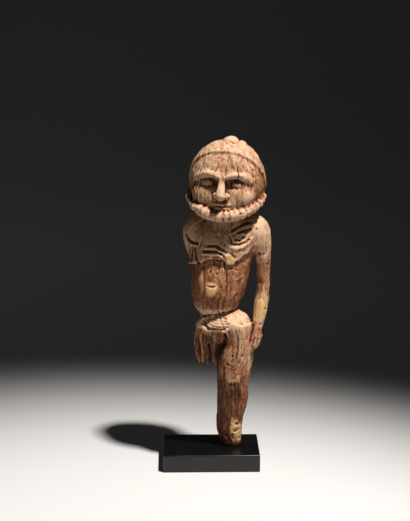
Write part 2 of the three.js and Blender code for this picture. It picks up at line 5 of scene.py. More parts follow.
import bmesh
import bpy
import numpy as np
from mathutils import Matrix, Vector


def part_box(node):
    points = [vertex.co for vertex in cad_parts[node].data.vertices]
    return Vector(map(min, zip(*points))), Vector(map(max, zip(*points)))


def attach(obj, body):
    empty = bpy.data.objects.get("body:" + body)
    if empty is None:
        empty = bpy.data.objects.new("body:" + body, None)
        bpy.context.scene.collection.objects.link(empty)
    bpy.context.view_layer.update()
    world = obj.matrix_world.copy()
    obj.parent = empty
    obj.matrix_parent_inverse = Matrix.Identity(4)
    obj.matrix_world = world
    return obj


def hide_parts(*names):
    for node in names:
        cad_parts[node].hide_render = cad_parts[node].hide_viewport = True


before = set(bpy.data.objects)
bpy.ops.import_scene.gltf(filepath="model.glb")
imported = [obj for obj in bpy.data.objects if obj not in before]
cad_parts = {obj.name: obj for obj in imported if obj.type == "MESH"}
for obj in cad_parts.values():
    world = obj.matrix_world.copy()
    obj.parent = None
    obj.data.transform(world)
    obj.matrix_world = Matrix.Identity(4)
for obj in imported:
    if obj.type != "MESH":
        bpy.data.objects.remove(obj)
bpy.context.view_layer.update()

bl_info = {
    "name": "Carved Statuette",
    "version": (1, 0, 0),
    "blender": (4, 5, 0),
    "location": "View3D > Sidebar > Statuette",
    "description": "Makes a weathered carved figure, its lacquered plinth and a plain stage",
    "category": "Add Mesh",
}

MM = 0.001

PLINTH_LOW, PLINTH_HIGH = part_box("plinth")

# The figure is described in millimetres in a frame of its own, turned on the plinth, where +X is
# its left and -Y is its front.
FIGURE_X = 12
FIGURE_TURN = math.radians(-12)
FOOT_Z = PLINTH_HIGH.z / MM + 0.3

# Sections through the figure: height, middle, half width, depth in front of the figure's middle
# plane and depth behind it. A limb's sections have a middle of their own in y as well.
LEG = [
    (15.5, 7, 6.4, 3, 7), (18.5, 6.8, 8.4, 4.6, 9), (24, 6, 10, 6, 10.4), (31, 5.1, 11.2, 7.5, 11.5),
    (42, 5.4, 12, 8.5, 13), (54, 7.2, 13.4, 9.5, 16), (66, 8.1, 14.3, 10, 17.5), (75, 7.8, 13.9, 12, 14.5),
    (85, 8.8, 15.1, 14.5, 12.5), (98, 10, 16.4, 16, 15.5), (110, 13, 13.6, 17.5, 18), (124, 15.5, 10.8, 19, 18),
]
TORN_THIGH = [
    (92, -12.5, 10.5, 9, 13), (100, -11.5, 14, 11.5, 16.5), (110, -11.5, 15.6, 12.5, 18.5),
    (120, -11, 15.8, 14, 19.5), (132, -8, 15.4, 15, 18),
]
PELVIS = [
    (112, 2, 22, 13, 14), (122, 0.5, 24.6, 17, 17), (130.5, -0.2, 25.2, 21.5, 19), (135, -1, 22.8, 21.8, 18.5),
    (140, -3.4, 18.2, 19.2, 16.5), (145, -4.8, 15.2, 16, 14), (151, -4.8, 13, 13, 13),
]
TRUNK = [
    (134, -4, 12, 10, 13), (142, -4.9, 15.1, 13, 13), (147, -4.7, 17.6, 19, 13.5), (155, -4.8, 21.9, 23.6, 14.5),
    (166, -4.6, 24.8, 25, 16), (180, -3.7, 26.4, 22.5, 17), (192, -2.4, 27.8, 19.5, 18), (205, 0.5, 27.6, 18.5, 19),
    (217, 1.5, 25, 15.5, 18), (227, 2, 17, 11, 15), (242, 2, 14, 9, 13),
]
ARM = [
    (104, 21, 3, 4, 4, -4), (108, 22.8, 4.4, 6, 6, -4), (114, 26.6, 6.4, 8, 7, -3), (121, 28.7, 6.6, 7.5, 7, -1.5),
    (127.5, 29.6, 5.1, 6, 6, 0), (134, 31, 5.5, 6.2, 6.2, 1), (147, 33, 6.2, 7, 7, 3.5), (156, 33.9, 6.3, 7, 7, 5),
    (168, 34.8, 5.7, 6.6, 7, 5.5), (181, 35, 6.1, 7.2, 7.4, 5), (195, 34.5, 7.2, 8.5, 8.5, 4),
    (206, 34, 7.4, 8.6, 9, 3), (214, 31, 6.4, 7, 7.5, 2),
]
TORN_ARM = [
    (186, -27, 4.6, 6, 7, 4), (196, -27.4, 6.2, 8.5, 8.5, 3.5), (203, -28.2, 7.4, 11, 10, 3),
    (214, -28, 8, 11, 11, 2),
]
TRUNK_ENDS = (134, 242)
PELVIS_ENDS = (129, 151)
PELVIS_RUN = 14
THIGH_TOP = 134
ARM_ENDS = (103, 215)
TORN_ARM_ENDS = (186, 214)
SPLINTERS_Z = 96.5
NECK_Z = 220
HIP_TILT = 0.2

# Rounded forms: middle, radii and how softly each joins what it grows from
INNER_THIGH = ((7.5, -11, 103), (8, 6.5, 12), 2)
BUTTOCKS = [((x, 10, 120), (13, 12.5, 16), 3) for x in (-11, 13)]
UPPER_BACK = ((2, 7, 215), (25, 10.5, 15), 6)
LEFT_SHOULDER = ((25.5, 2, 215), (15.8, 13.5, 17.5), 5)
RIGHT_SHOULDER = ((-22.5, 2, 213), (15.8, 13.5, 19), 4)

# The head, and its parts in a frame of its own. The face is a plain, calm one on even proportions.
HEAD_AT = (2.6, -2, 264)
HEAD_ROLL = math.radians(3)
HEAD_HALF = 33.6
HEAD_TAPER = 0.16
HEAD_FRONT, HEAD_BACK = 25, 26
HEAD_DROP, HEAD_RISE = 30, 33.3
HEAD_ROUND, HEAD_DOME = 2.3, 2.5
CAP_THICKNESS = 1.7
CAP_EDGE = 0.6
EYE_X = 13.4
BROW_Z = 8
NOSE_BASE_Z = -13
MOUTH_Z = -20
JAW = ((0, -5, -17), (28.5, 21, 16.5), 4)
EYE_SOCKET = ((EYE_X, -26.5, 0), (10, 6, 6), 3)
EYE = ((EYE_X, -19.2, -0.4), (6.8, 4, 3.4), 1)
CHEEK = ((17, -17, -11), (10, 6.5, 8), 5)
NOSTRIL = ((4.4, -26.6, NOSE_BASE_Z + 2.6), (3.2, 3.6, 2.8), 1.5)
UPPER_LIP = ((0, -23.6, MOUTH_Z + 1.9), (9.6, 3.6, 1.9), 1.2)
LOWER_LIP = ((0, -23.2, MOUTH_Z - 1.8), (8.4, 3.8, 2.1), 1.2)
BROW = [(24, -17, 3), (14, -23.4, BROW_Z), (3, -26, BROW_Z - 2)]
NOSE = [(0, -25, BROW_Z - 3), (0, -28.4, -4), (0, -30.4, NOSE_BASE_Z + 3.2)]
CROWN_KNOB = ((1.5, 1, HEAD_RISE), (7, 9, 5.6), 1.2)
CROWN_BUMP = ((11.5, 1, HEAD_RISE - 2.2), (4.4, 7, 4.4), 1)
BEARD_HALF, BEARD_FRONT = 32.8, 26.4
BEARD_TOP, BEARD_DROP = -13.2, 15.8
BEARD_SWEEP = math.radians(100)
BEARD_END, BEARD_CHIN = 3, 5.6
BEARD_NOTCH, BEARD_NOTCHES = 1.2, 23

# Lines of the carving as the front shows them: x and z in the figure's frame
YOKE_EDGE = [
    (-30, 188), (-18, 191.4), (-10.8, 194.8), (-4, 196), (1, 194.8), (5.5, 191.2),
    (10.9, 190.7), (14.5, 193.6), (22.5, 199.3), (28.7, 206), (40, 214),
]
YOKE_THICKNESS = 3
YOKE_TOP = 230
NAVEL_AT, NAVEL_SIZE, NAVEL_HEIGHT = (-7.6, 168), (5.4, 6.6), 0.8
KNEE_AT, KNEE_SIZE, KNEE_DEPTH = (10, 79), (7, 3), 0.9
SPINE_X, SPINE_HALF, SPINE_DEPTH = -1, 6, 1.6

# Each stroke stands up from the plain form along its line, or is cut into it: height, width, line
STROKES = [
    # The collar's two wavy ridges, with the groove above them
    (1.2, 2.4, [(-13.5, 204.4), (-9, 204.8), (-4.6, 204.9), (-0.5, 203), (3.4, 200.4), (6, 197.8)]),
    (1.1, 2.2, [(-15.6, 199), (-8, 199.8), (-2.4, 199.4), (0.4, 197.8), (3, 196.4)]),
    (-1.3, 1.7, [(-10.4, 206.6), (-4, 207.2), (0, 205.6), (3, 203.4), (5.6, 201)]),
    (-0.9, 1.6, [(-15.4, 201.8), (-8, 202.3), (-3, 202.2), (1.4, 199.8)]),
    (-1.5, 1.8, [(-6, 197.2), (-1.5, 197), (2, 194.6), (5, 192)]),
    (-0.9, 1.4, [(7.2, 202.2), (10.6, 199.9), (12.8, 197.4)]),
    # The breast: an outer arc and an oval inside it, and the grooves running up to the shoulder
    (1.2, 2.4, [(4.6, 216.5), (5.4, 211), (8.8, 207), (14, 205.2), (19.4, 206), (23.8, 209), (26.6, 213.5)]),
    (-0.9, 1.5, [(8.2, 214.6), (9.8, 211), (13, 209), (17, 208.7), (21.4, 210.4)]),
    (0.9, 1.8, [(10.6, 215), (12.4, 211.8), (16.4, 210.2), (20.6, 211.4), (23.4, 214.2), (23, 217.2),
                (19.4, 218.2), (14.6, 217.4), (10.6, 215)]),
    (-1.1, 1.6, [(12.4, 216.2), (15.6, 218.4), (20, 220.6), (26, 221.8)]),
    (0.8, 2.0, [(9.6, 218), (14, 221), (20, 223.6), (27, 225)]),
    (-1.0, 1.6, [(9.4, 220.6), (13.4, 222.8), (18.6, 225.8), (26, 227.6)]),
    # The torn shoulder's rim, the crack inside it and the split below
    (1.1, 2.2, [(-37, 220), (-35.4, 213), (-32.6, 208), (-28.5, 206), (-24, 206.4)]),
    (-1.5, 1.8, [(-33.4, 214.4), (-32.2, 211), (-29, 208.6), (-26.2, 207.6), (-22, 208)]),
    (-2.0, 2.2, [(-24.3, 203.5), (-23.6, 199), (-22.6, 194), (-20.8, 190.5)]),
    (0.8, 1.5, [(-28.4, 205), (-28.8, 199), (-29.4, 195)]),
    (-0.9, 1.4, [(-30.4, 203), (-31, 198), (-31.2, 195)]),
    (-0.8, 1.4, [(-26.4, 205), (-26.8, 198), (-27.6, 192)]),
    # The belly's crease and nicks, and the cut across the navel
    (-0.9, 2.2, [(-15.2, 187), (-14.6, 176), (-15, 160)]),
    (-1.0, 1.5, [(-10.8, 171.2), (-7.6, 170.3), (-4.2, 170.9)]),
    (0.7, 1.6, [(13.6, 176.6), (16, 178), (18.6, 179.6)]),
    (-0.7, 1.5, [(9, 187), (13, 186), (15, 185)]),
    (-0.7, 1.3, [(14, 163), (12.6, 160), (12.4, 156)]),
    # The groin: an oval with a raised lower rim, a deep cut inside it and worn lines across it
    (1.7, 2.4, [(-15.2, 138.8), (-18.6, 135), (-17.4, 131.8), (-13, 130), (-8, 128.6), (-2, 128.2), (3, 129),
                (6.4, 130.8)]),
    (1.0, 2.0, [(-18.6, 135), (-15.6, 138.8), (-12.4, 140.9), (-6.5, 142.5)]),
    (-2.0, 2.0, [(-15, 137), (-14.2, 134), (-12.4, 131.8), (-8, 130.9), (-1, 130.6), (4, 131.2)]),
    (-0.8, 1.3, [(-12.8, 139.6), (-11.4, 136.6), (-8, 134.5), (-2, 133.2), (6, 133.4)]),
    (-0.8, 1.2, [(-10.8, 141), (-8.6, 138.1), (-4, 136.4), (3, 136), (8, 136.4)]),
    (-0.7, 1.2, [(-8.6, 141.8), (-6, 139.6), (-1, 138.4), (5, 138.5)]),
    (-0.6, 1.1, [(-5, 142), (-1, 140.7), (5, 140.8)]),
    # Clefts and ridges of the torn thigh
    (-2.1, 2.4, [(-20.6, 92), (-20.4, 104), (-21, 113)]),
    (-2.2, 2.2, [(-11.4, 90), (-10.8, 104), (-11.4, 114)]),
    (-1.5, 2.6, [(-15.6, 90), (-15.2, 98)]),
    (-1.6, 3.0, [(-5.6, 90), (-4.6, 104), (-2.4, 111), (2.4, 116)]),
    (0.9, 2.6, [(-17.6, 96), (-17.8, 112), (-19, 124)]),
    (0.7, 3.0, [(-7.8, 94), (-7.6, 110), (-6, 122)]),
    (-1.2, 1.6, [(-12.4, 113), (-11.4, 114.2)]),
    # The fingers on the hip, the wrist and the edge of the shin
    (-0.9, 1.5, [(29.6, 121.5), (28.6, 117), (27.2, 112.5)]),
    (-0.9, 1.5, [(32.8, 120.5), (31.4, 115.5), (29.4, 110.5)]),
    (-0.8, 1.5, [(35.6, 121), (34.4, 117), (32.6, 113)]),
    (-0.8, 1.6, [(34, 133.4), (37.6, 132.8), (40, 132.8)]),
    (0.9, 2.2, [(15.2, 86), (16.2, 79), (17.6, 72), (19, 65)]),
    (-0.7, 1.8, [(2.6, 94), (2.2, 84), (2.8, 74)]),
]
# Single pits that show: x and z on the front, half width and depth
SPOTS = [
    (-13.8, 201.9, 1.2, 1.1), (-11, 202, 1.4, 1.4), (-9.2, 202.1, 1.3, 1.3), (-3.4, 202.4, 1.3, 1.4),
    (0.8, 200.6, 1.5, 1.3), (14.8, 213.4, 1.3, 1.0), (17.2, 212.3, 1.4, 1.3), (20.3, 214.5, 1.3, 1.3),
    (24.4, 212.6, 1.2, 1.0), (12.6, 222.2, 1.3, 1.0), (22.6, 226.6, 1.2, 1.0), (30.4, 221.4, 1.2, 0.9),
    (-2.6, 182.2, 1.1, 1.0), (-8.6, 183.6, 1.1, 0.9), (1.4, 170.6, 1.1, 0.9), (38.2, 146.8, 1.3, 1.1),
    (32.8, 198, 1.3, 1.2), (36.6, 198.4, 1.4, 1.1), (39.6, 188.4, 1.3, 1.1), (19.2, 135.4, 1.2, 0.9),
    (5.8, 98.6, 1.4, 1.3), (8.4, 97, 1.3, 1.2), (10.8, 105.6, 1.2, 1.1), (27.8, 113.2, 1.4, 1.2), (28.2, 110.6, 1.2, 1.0),
    (12.8, 38.6, 1.5, 1.5), (11.4, 32.2, 1.7, 1.6), (13.6, 33.2, 1.2, 1.1), (8.8, 28, 1.6, 1.5), (9.2, 25.2, 1.2, 1.1),
    (15.4, 24.6, 1.3, 1.0), (5.6, 22.6, 1.5, 1.2), (3.4, 27, 1.2, 1.0), (8.8, 77.4, 1.5, 1.0),
]

# How the wood has worn at each height: z, tone from dark to pale, and how rough it is
AGEING = [
    (16, 0.3, 1.2), (26, 0.26, 1.1), (44, 0.22, 0.8), (72, 0.26, 0.7), (80, 0.44, 0.8), (96, 0.55, 1.0),
    (112, 0.6, 1.0), (126, 0.7, 0.9), (136, 0.86, 0.6), (146, 0.8, 0.6), (151, 0.44, 0.8), (165, 0.47, 0.9),
    (186, 0.52, 0.8), (192, 0.68, 0.8), (200, 0.78, 0.7), (215, 0.8, 0.6), (230, 0.78, 0.8), (250, 0.72, 1.0),
    (275, 0.78, 1.1), (303, 0.8, 1.0),
]
# Patches of another tone, some of them painted shade: middle, reach, tone, and share of ochre
PATCHES = [
    ((9.4, -22, 196), (8.5, 9, 7), 0.8, 0.9),
    ((-7.4, -26, 167.5), (7, 7, 7.5), 0.78, 0.75),
    # Painted shade: the figure's right flank and the underside of the belly, which turn away from the light, are
    # darkened.
    ((-26, -4, 172), (12, 22, 30), 0.3, 0),
    ((-9, -24, 154), (13, 10, 7), 0.36, 0),
    ((37, 2, 178), (8, 12, 22), 0.52, 0.1),
    ((35, 2, 148), (12, 12, 19), 0.84, 0.8),
    ((34, -2, 121), (9, 14, 11), 0.46, 0),
    ((-12, -8, 108), (17, 22, 19), 0.3, 0.1),
    ((-17, -12, 103), (4, 8, 8), 0.42, 0.6),
    ((5, -12, 99), (7, 8, 7), 0.4, 0.2),
    ((10, -14, 83), (7, 7, 6), 0.74, 0.55),
    ((22, -2, 84), (8, 12, 16), 0.56, 0.1),
    # Painted shade down the leg's side at the figure's right, away from the light
    ((-3, 0, 66), (9, 26, 40), 0.16, 0),
    ((9, -10, 60), (10, 10, 17), 0.24, 0),
    ((13, -7, 32), (7.5, 9, 13), 0.86, 0.85),
    # Painted shade on the foot's side at the figure's right, away from the light
    ((1, -6, 27), (6, 10, 14), 0.2, 0.2),
    ((30, -6, 262), (9, 22, 20), 0.55, 0),
    ((-24, -14, 252), (12, 16, 14), 0.52, 0),
    ((18, -24, 282), (11, 8, 8), 0.66, 0),
]


def linear(colour):
    """The linear red, green, blue and alpha of an sRGB colour written as hex digits."""
    parts = [int(colour[n:n + 2], 16) / 255 for n in (1, 3, 5)]
    return [c / 12.92 if c <= 0.04045 else ((c + 0.055) / 1.055) ** 2.4 for c in parts] + [1]


def smooth(value, low, high):
    """0 below low, 1 above high and a smooth step between."""
    t = np.clip((value - low) / (high - low), 0, 1)
    return t * t * (3 - 2 * t)


def bump(distance, width):
    """1 on a line and 0 a width away from it."""
    return 1 - smooth(distance, 0, width)


def size_of(*parts):
    return np.sqrt(sum(part * part for part in parts))


# The fields below are negative inside a form and grow by about a millimetre each millimetre


def union(a, b, blend):
    h = np.maximum(blend - np.abs(a - b), 0) / blend
    return np.minimum(a, b) - h * h * blend / 4


def without(a, b, blend):
    return -union(-a, b, blend)


def intersection(a, b, blend):
    return -union(-a, -b, blend)


def beyond(z, low, high):
    """How far z lies outside a stretch from low to high."""
    return np.maximum(low - z, z - high)


def ellipsoid(form, x, y, z):
    at, radii, _ = form
    dx, dy, dz = x - at[0], y - at[1], z - at[2]
    r = size_of(dx / radii[0], dy / radii[1], dz / radii[2])
    return size_of(dx, dy, dz) * (1 - 1 / np.maximum(r, 1e-6))


def add_round(field, form, x, y, z):
    return union(field, ellipsoid(form, x, y, z), form[2])


def cut_round(field, form, x, y, z):
    return without(field, ellipsoid(form, x, y, z), form[2])


def section_at(stations, z):
    """Each named size at the heights z, on a smooth curve through the stations."""
    table = np.array(stations, float)
    heights = table[:, 0]
    z = np.clip(z, heights[0], heights[-1])
    i = np.clip(np.searchsorted(heights, z, side="right") - 1, 0, len(heights) - 2)
    before, after = np.maximum(i - 1, 0), np.minimum(i + 2, len(heights) - 1)
    span = heights[i + 1] - heights[i]
    t = ((z - heights[i]) / span)[:, None]
    low, high = table[i], table[i + 1]
    leaving = (high - table[before]) / ((heights[i + 1] - heights[before]) / span)[:, None]
    arriving = (table[after] - low) / ((heights[after] - heights[i]) / span)[:, None]
    sizes = (low * (1 + 2 * t) * (1 - t) ** 2 + leaving * t * (1 - t) ** 2
             + high * t * t * (3 - 2 * t) + arriving * t * t * (t - 1))
    return sizes.T[1:]


def loft(stations, squareness, x, y, z):
    """The field of a bar with the given sections, squarer than an ellipse past a squareness of 2."""
    middle, half, front, back, *middle_y = section_at(stations, z)
    dx, dy = x - middle, y - (middle_y[0] if middle_y else 0)
    depth = np.where(dy < 0, front, back)
    r = (np.abs(dx / half) ** squareness + np.abs(dy / depth) ** squareness) ** (1 / squareness)
    return size_of(dx, dy) * (1 - 1 / np.maximum(r, 1e-6))


def tube(points, radius_at, x, y, z):
    """The field of a round bar along a line of points, with its radius by the place along it."""
    nearest = np.full(x.shape, np.inf)
    at = np.stack([x, y, z], axis=1)
    for i, (start, end) in enumerate(zip(points, points[1:])):
        step = end - start
        offset = at - start
        t = np.clip(offset @ step / (step @ step), 0, 1)
        away = offset - t[:, None] * step
        reach = np.sqrt((away * away).sum(axis=1)) - radius_at((i + t) / (len(points) - 1))
        nearest = np.minimum(nearest, reach)
    return nearest


def smooth_curve(points, steps=8):
    """Points along a smooth curve through three given points."""
    a, b, c = np.array(points, float)
    t = np.linspace(0, 2, steps + 1)[:, None]
    return a * (1 - t) * (2 - t) / 2 + b * t * (2 - t) + c * t * (t - 1) / 2


def beard_path(steps=40):
    angle = np.linspace(-BEARD_SWEEP, BEARD_SWEEP, steps + 1)
    ahead = np.maximum(np.cos(angle), 0)
    return np.stack([
        BEARD_HALF * np.sin(angle),
        1 - BEARD_FRONT * np.cos(angle),
        BEARD_TOP - BEARD_DROP * ahead ** 1.3,
    ], axis=1)


def beard_radius(along):
    notch = 1 - np.abs(np.sin(np.pi * BEARD_NOTCHES * along))
    return BEARD_END + (BEARD_CHIN - BEARD_END) * np.sin(np.pi * along) - BEARD_NOTCH * notch


def in_head(x, y, z):
    """Points of the figure's frame in the head's own: across, back and up from its middle."""
    dx, dz = x - HEAD_AT[0], z - HEAD_AT[2]
    across = dx * math.cos(HEAD_ROLL) - dz * math.sin(HEAD_ROLL)
    up = dx * math.sin(HEAD_ROLL) + dz * math.cos(HEAD_ROLL)
    return across, y - HEAD_AT[1], up


def behind_cap_edge(deep, up):
    """How far a point lies behind the cap's edge, which leans back from the forehead to the nape."""
    return 0.8 * deep + 0.6 * up - CAP_EDGE


def head_field(x, y, z):
    across, deep, up = in_head(x, y, z)
    half = HEAD_HALF * (1 - HEAD_TAPER * smooth(up, -5, HEAD_RISE))
    depth = np.where(deep < 0, HEAD_FRONT, HEAD_BACK)
    height = np.where(up < 0, HEAD_DROP, HEAD_RISE)
    level = np.abs(across / half) ** HEAD_ROUND + np.abs(deep / depth) ** HEAD_ROUND
    r = (level ** (HEAD_DOME / HEAD_ROUND) + np.abs(up / height) ** HEAD_DOME) ** (1 / HEAD_DOME)
    field = size_of(across, deep, up) * (1 - 1 / np.maximum(r, 1e-6))
    field = add_round(field, JAW, across, deep, up)
    side = np.abs(across)
    face = cut_round(field, EYE_SOCKET, side, deep, up)
    face = union(face, tube(smooth_curve(BROW), lambda along: 2.6, side, deep, up), 3.5)
    face = add_round(face, EYE, side, deep, up)
    face = add_round(face, CHEEK, side, deep, up)
    face = union(face, tube(smooth_curve(NOSE), lambda along: 2.4 + 2.2 * along, across, deep, up), 2.5)
    face = add_round(face, NOSTRIL, side, deep, up)
    face = add_round(face, UPPER_LIP, across, deep, up)
    face = add_round(face, LOWER_LIP, across, deep, up)
    field = np.where(deep < 5, face, field)
    beard = tube(beard_path(), beard_radius, across, deep, up)
    field = np.where(up < 0, union(field, beard, 2.5), field)
    cap = smooth(behind_cap_edge(deep, up), 0, 1.8) * smooth(up, -26, -18)
    field = add_round(field - CAP_THICKNESS * cap, CROWN_KNOB, across, deep, up)
    return add_round(field, CROWN_BUMP, across, deep, up)


def height_of(line, x):
    """How high a line of x, z points lies at x."""
    xs, zs = np.array(line, float).T
    i = np.clip(np.searchsorted(xs, x) - 1, 0, len(xs) - 2)
    return zs[i] + (zs[i + 1] - zs[i]) * smooth(x, xs[i], xs[i + 1])


def figure_field(x, y, z):
    tilt = HIP_TILT * np.clip(x, -25, 25) * smooth(z, 131, 142) * (1 - smooth(z, 150, 180))
    tilted = z - tilt
    trunk = intersection(loft(TRUNK, 2.25, x, y, tilted), beyond(z, *TRUNK_ENDS), 3)
    edge = height_of(YOKE_EDGE, x)
    trunk = trunk - YOKE_THICKNESS * smooth(z, edge - 1.2, edge + 0.6) * smooth(-y, 2, 10)
    hem = PELVIS_ENDS[0] - PELVIS_RUN * smooth(x, 2, 12)
    field = intersection(loft(PELVIS, 2.2, x, y, tilted), beyond(tilted, hem, PELVIS_ENDS[1]), 1.5)
    field = union(field, trunk, 1.5)
    splinters = SPLINTERS_Z + 2 * np.sin(x * 0.7 + 1) + 1.6 * np.sin(x * 1.7 + y * 0.4)
    thigh = intersection(loft(TORN_THIGH, 2.4, x, y, z), beyond(z, splinters, THIGH_TOP), 1.5)
    field = union(field, thigh, 1.2)
    field = union(field, np.maximum(loft(LEG, 2.3, x, y, z), z - THIGH_TOP), 5)
    for form in (INNER_THIGH, *BUTTOCKS, UPPER_BACK, LEFT_SHOULDER):
        field = add_round(field, form, x, y, z)
    arm = intersection(loft(ARM, 2.2, x, y, z), beyond(z, *ARM_ENDS), 3)
    field = union(field, arm, 1.4 + 5 * smooth(z, 192, 208))
    field = add_round(field, RIGHT_SHOULDER, x, y, z)
    field = union(field, intersection(loft(TORN_ARM, 2.2, x, y, z), beyond(z, *TORN_ARM_ENDS), 2), 2)
    high = z > NECK_Z
    field[high] = union(field[high], head_field(x[high], y[high], z[high]), 2)
    return intersection(field, FOOT_Z - z, 0.4)


def noise(points, spacing, seed):
    """Smooth noise from -1 to 1 whose lumps are about spacing millimetres across."""
    table = np.random.default_rng(seed).uniform(-1, 1, (64, 64, 64))
    at = points / np.array(spacing, float)
    cell = np.floor(at).astype(int)
    t = at - cell
    t = t * t * (3 - 2 * t)
    total = np.zeros(len(points))
    for corner in np.ndindex(2, 2, 2):
        weight = np.prod(np.where(corner, t, 1 - t), axis=1)
        total += weight * table[tuple(((cell + corner) % 64).T)]
    return total


def pits(points, spacing, seed, share):
    """Round hollows, 1 in the middle and 0 at the rim, in a share of cells of the given spacing."""
    rng = np.random.default_rng(seed)
    places = rng.uniform(0.25, 0.75, (64, 64, 64, 3))
    sizes = np.where(rng.uniform(size=(64, 64, 64)) < share, rng.uniform(0.15, 0.38, (64, 64, 64)), 0)
    at = points / np.array(spacing, float)
    cell = np.floor(at).astype(int)
    hollow = np.zeros(len(points))
    for step in np.ndindex(3, 3, 3):
        near = cell + step - 1
        index = tuple((near % 64).T)
        away = size_of(*(at - near - places[index]).T)
        hollow = np.maximum(hollow, 1 - smooth(away, 0, np.maximum(sizes[index], 1e-6)))
    return hollow


def drying_cracks(points, seed, count):
    """Upright cracks that open towards the heart of the block, each with its own place and depth."""
    rng = np.random.default_rng(seed)
    x, y, z = points.T
    heart_x = np.interp(z, (60, 120, 150, 215, 250), (7, 3, -4, 0, 3))
    angle = np.arctan2(x - heart_x, -y)
    radius = size_of(x - heart_x, y)
    depth = np.zeros(len(x))
    for _ in range(count):
        middle, turn = rng.uniform(20, 300), rng.uniform(-np.pi, np.pi)
        half, width, deep = rng.uniform(7, 32), rng.uniform(0.8, 1.6), rng.uniform(0.5, 1)
        wander = 0.05 * np.sin(z / rng.uniform(5, 9) + rng.uniform(0, 6))
        across = radius * np.abs((angle - turn - wander + np.pi) % (2 * np.pi) - np.pi)
        along = 1 - smooth(np.abs(z - middle), 0.3 * half, half)
        depth = np.maximum(depth, deep * bump(across, width * (0.4 + 0.6 * along)) * (along > 0) * along ** 0.4)
    return depth


def distance_to(line, x, z):
    """Distance from points to a line of x, z points."""
    nearest = np.full(x.shape, np.inf)
    for (x0, z0), (x1, z1) in zip(line, line[1:]):
        dx, dz = x1 - x0, z1 - z0
        t = np.clip(((x - x0) * dx + (z - z0) * dz) / (dx * dx + dz * dz), 0, 1)
        nearest = np.minimum(nearest, size_of(x - x0 - t * dx, z - z0 - t * dz))
    return nearest


def carving(points, normals):
    """Height of the carved lines above the plain form."""
    x, y, z = points.T
    # A hand never cuts quite straight, so the lines waver a little
    x = x + 0.5 * noise(points, (6, 6, 6), 31)
    z = z + 0.5 * noise(points, (6, 6, 6), 32)
    front = np.zeros(len(x))
    for height, width, line in STROKES:
        lows, highs = np.min(line, axis=0) - width, np.max(line, axis=0) + width
        near = (x > lows[0]) & (x < highs[0]) & (z > lows[1]) & (z < highs[1])
        front[near] += height * bump(distance_to(line, x[near], z[near]), width)
    for at_x, at_z, half, depth in SPOTS:
        front -= depth * bump(size_of(x - at_x, z - at_z), 1.5 * half)
    navel = size_of((x - NAVEL_AT[0]) / NAVEL_SIZE[0], (z - NAVEL_AT[1]) / NAVEL_SIZE[1])
    front += NAVEL_HEIGHT * (1 - smooth(navel, 0.6, 1.2))
    knee = size_of((x - KNEE_AT[0]) / KNEE_SIZE[0], (z - KNEE_AT[1]) / KNEE_SIZE[1])
    front -= KNEE_DEPTH * bump(knee, 1)
    spine = smooth(z, 140, 152) * (1 - smooth(z, 205, 222)) * bump(np.abs(x - SPINE_X), SPINE_HALF)
    facing = smooth(-normals[:, 1], 0.15, 0.5) * (z < YOKE_TOP)
    return facing * front - SPINE_DEPTH * smooth(normals[:, 1], 0.3, 0.8) * spine


def torn_share(points):
    """1 on the split grain of the torn thigh and the torn arm, and 0 on carved wood."""
    x, y, z = points.T
    thigh = smooth(-x, -4, 0) * smooth(z, 86, 92) * (1 - smooth(z, 122, 127))
    arm = 0.6 * smooth(-x, 22, 26) * smooth(z, 186, 192) * (1 - smooth(z, 200, 206))
    return np.maximum(thigh, arm) * (1 - smooth(y, 4, 12))


def weathering(points, normals, torn, settings):
    """Height of the facets, grain, cracks and pits that knife and weather left, in millimetres."""
    grain_depth, crack_depth, pit_depth = (
        size / MM for size in (settings.grain_depth, settings.crack_depth, settings.pit_depth))
    heights, _, roughness = np.array(AGEING, float).T
    rough = np.interp(points[:, 2], heights, roughness) * (1 + 0.4 * noise(points, (13, 13, 18), 12))
    swirl = points + 1.2 * noise(points, (18, 18, 30), 11)[:, None]
    upright = 1 - smooth(np.abs(normals[:, 2]), 0.75, 0.97)
    height = 0.34 * noise(points, (8, 8, 10), 1) + 0.2 * noise(points, (3.4, 3.4, 4.4), 2)
    grain = noise(swirl, (1.8, 1.8, 22), 3) + 0.6 * noise(swirl, (1.3, 1.3, 13), 4)
    height += grain_depth * rough * upright * grain
    crust = noise(points, (1.9, 1.9, 2.7), 13)
    height -= grain_depth * rough * (1.6 * smooth(crust, 0.1, 0.75) - 0.5 * smooth(-crust, 0.1, 0.75))
    fibres = noise(swirl, (3.2, 3.2, 40), 5) + 0.45 * noise(swirl, (1.6, 1.6, 20), 6)
    height += 0.6 * torn * fibres
    height -= crack_depth * drying_cracks(points, 7, 70) * upright * (1 - 0.7 * torn)
    rotten = smooth(noise(points, (15, 15, 15), 9) + 0.5 * (rough - 1), -0.15, 0.45)
    height -= pit_depth * pits(points, (4.4, 4.4, 5.4), 10, 0.4) * rotten
    return height - beard_pits(points)


def beard_pits(points):
    """Depth of the cuts that part the beard into locks, and of the holes worn between them."""
    across, deep, up = in_head(*points.T)
    near = bump(tube(beard_path(), lambda along: beard_radius(along) - 1.5, across, deep, up), 4)
    locks = smooth(noise(points, (2.6, 2.6, 7), 14), -0.05, 0.4)
    holes = pits(points, (4.2, 4.2, 4.2), 15, 0.75)
    return near * (up < 2) * (0.7 * locks + 1.5 * holes)


def zone(points, at, reach):
    """1 in the middle of a rounded zone and 0 outside it, with a frayed edge."""
    away = size_of(*((points - np.array(at, float)) / np.array(reach, float)).T)
    frayed = away + 0.28 * noise(points, (4.5, 4.5, 9), 21) + 0.16 * noise(points, (1.9, 1.9, 4), 24)
    return 1 - smooth(frayed, 0.5, 1.15)


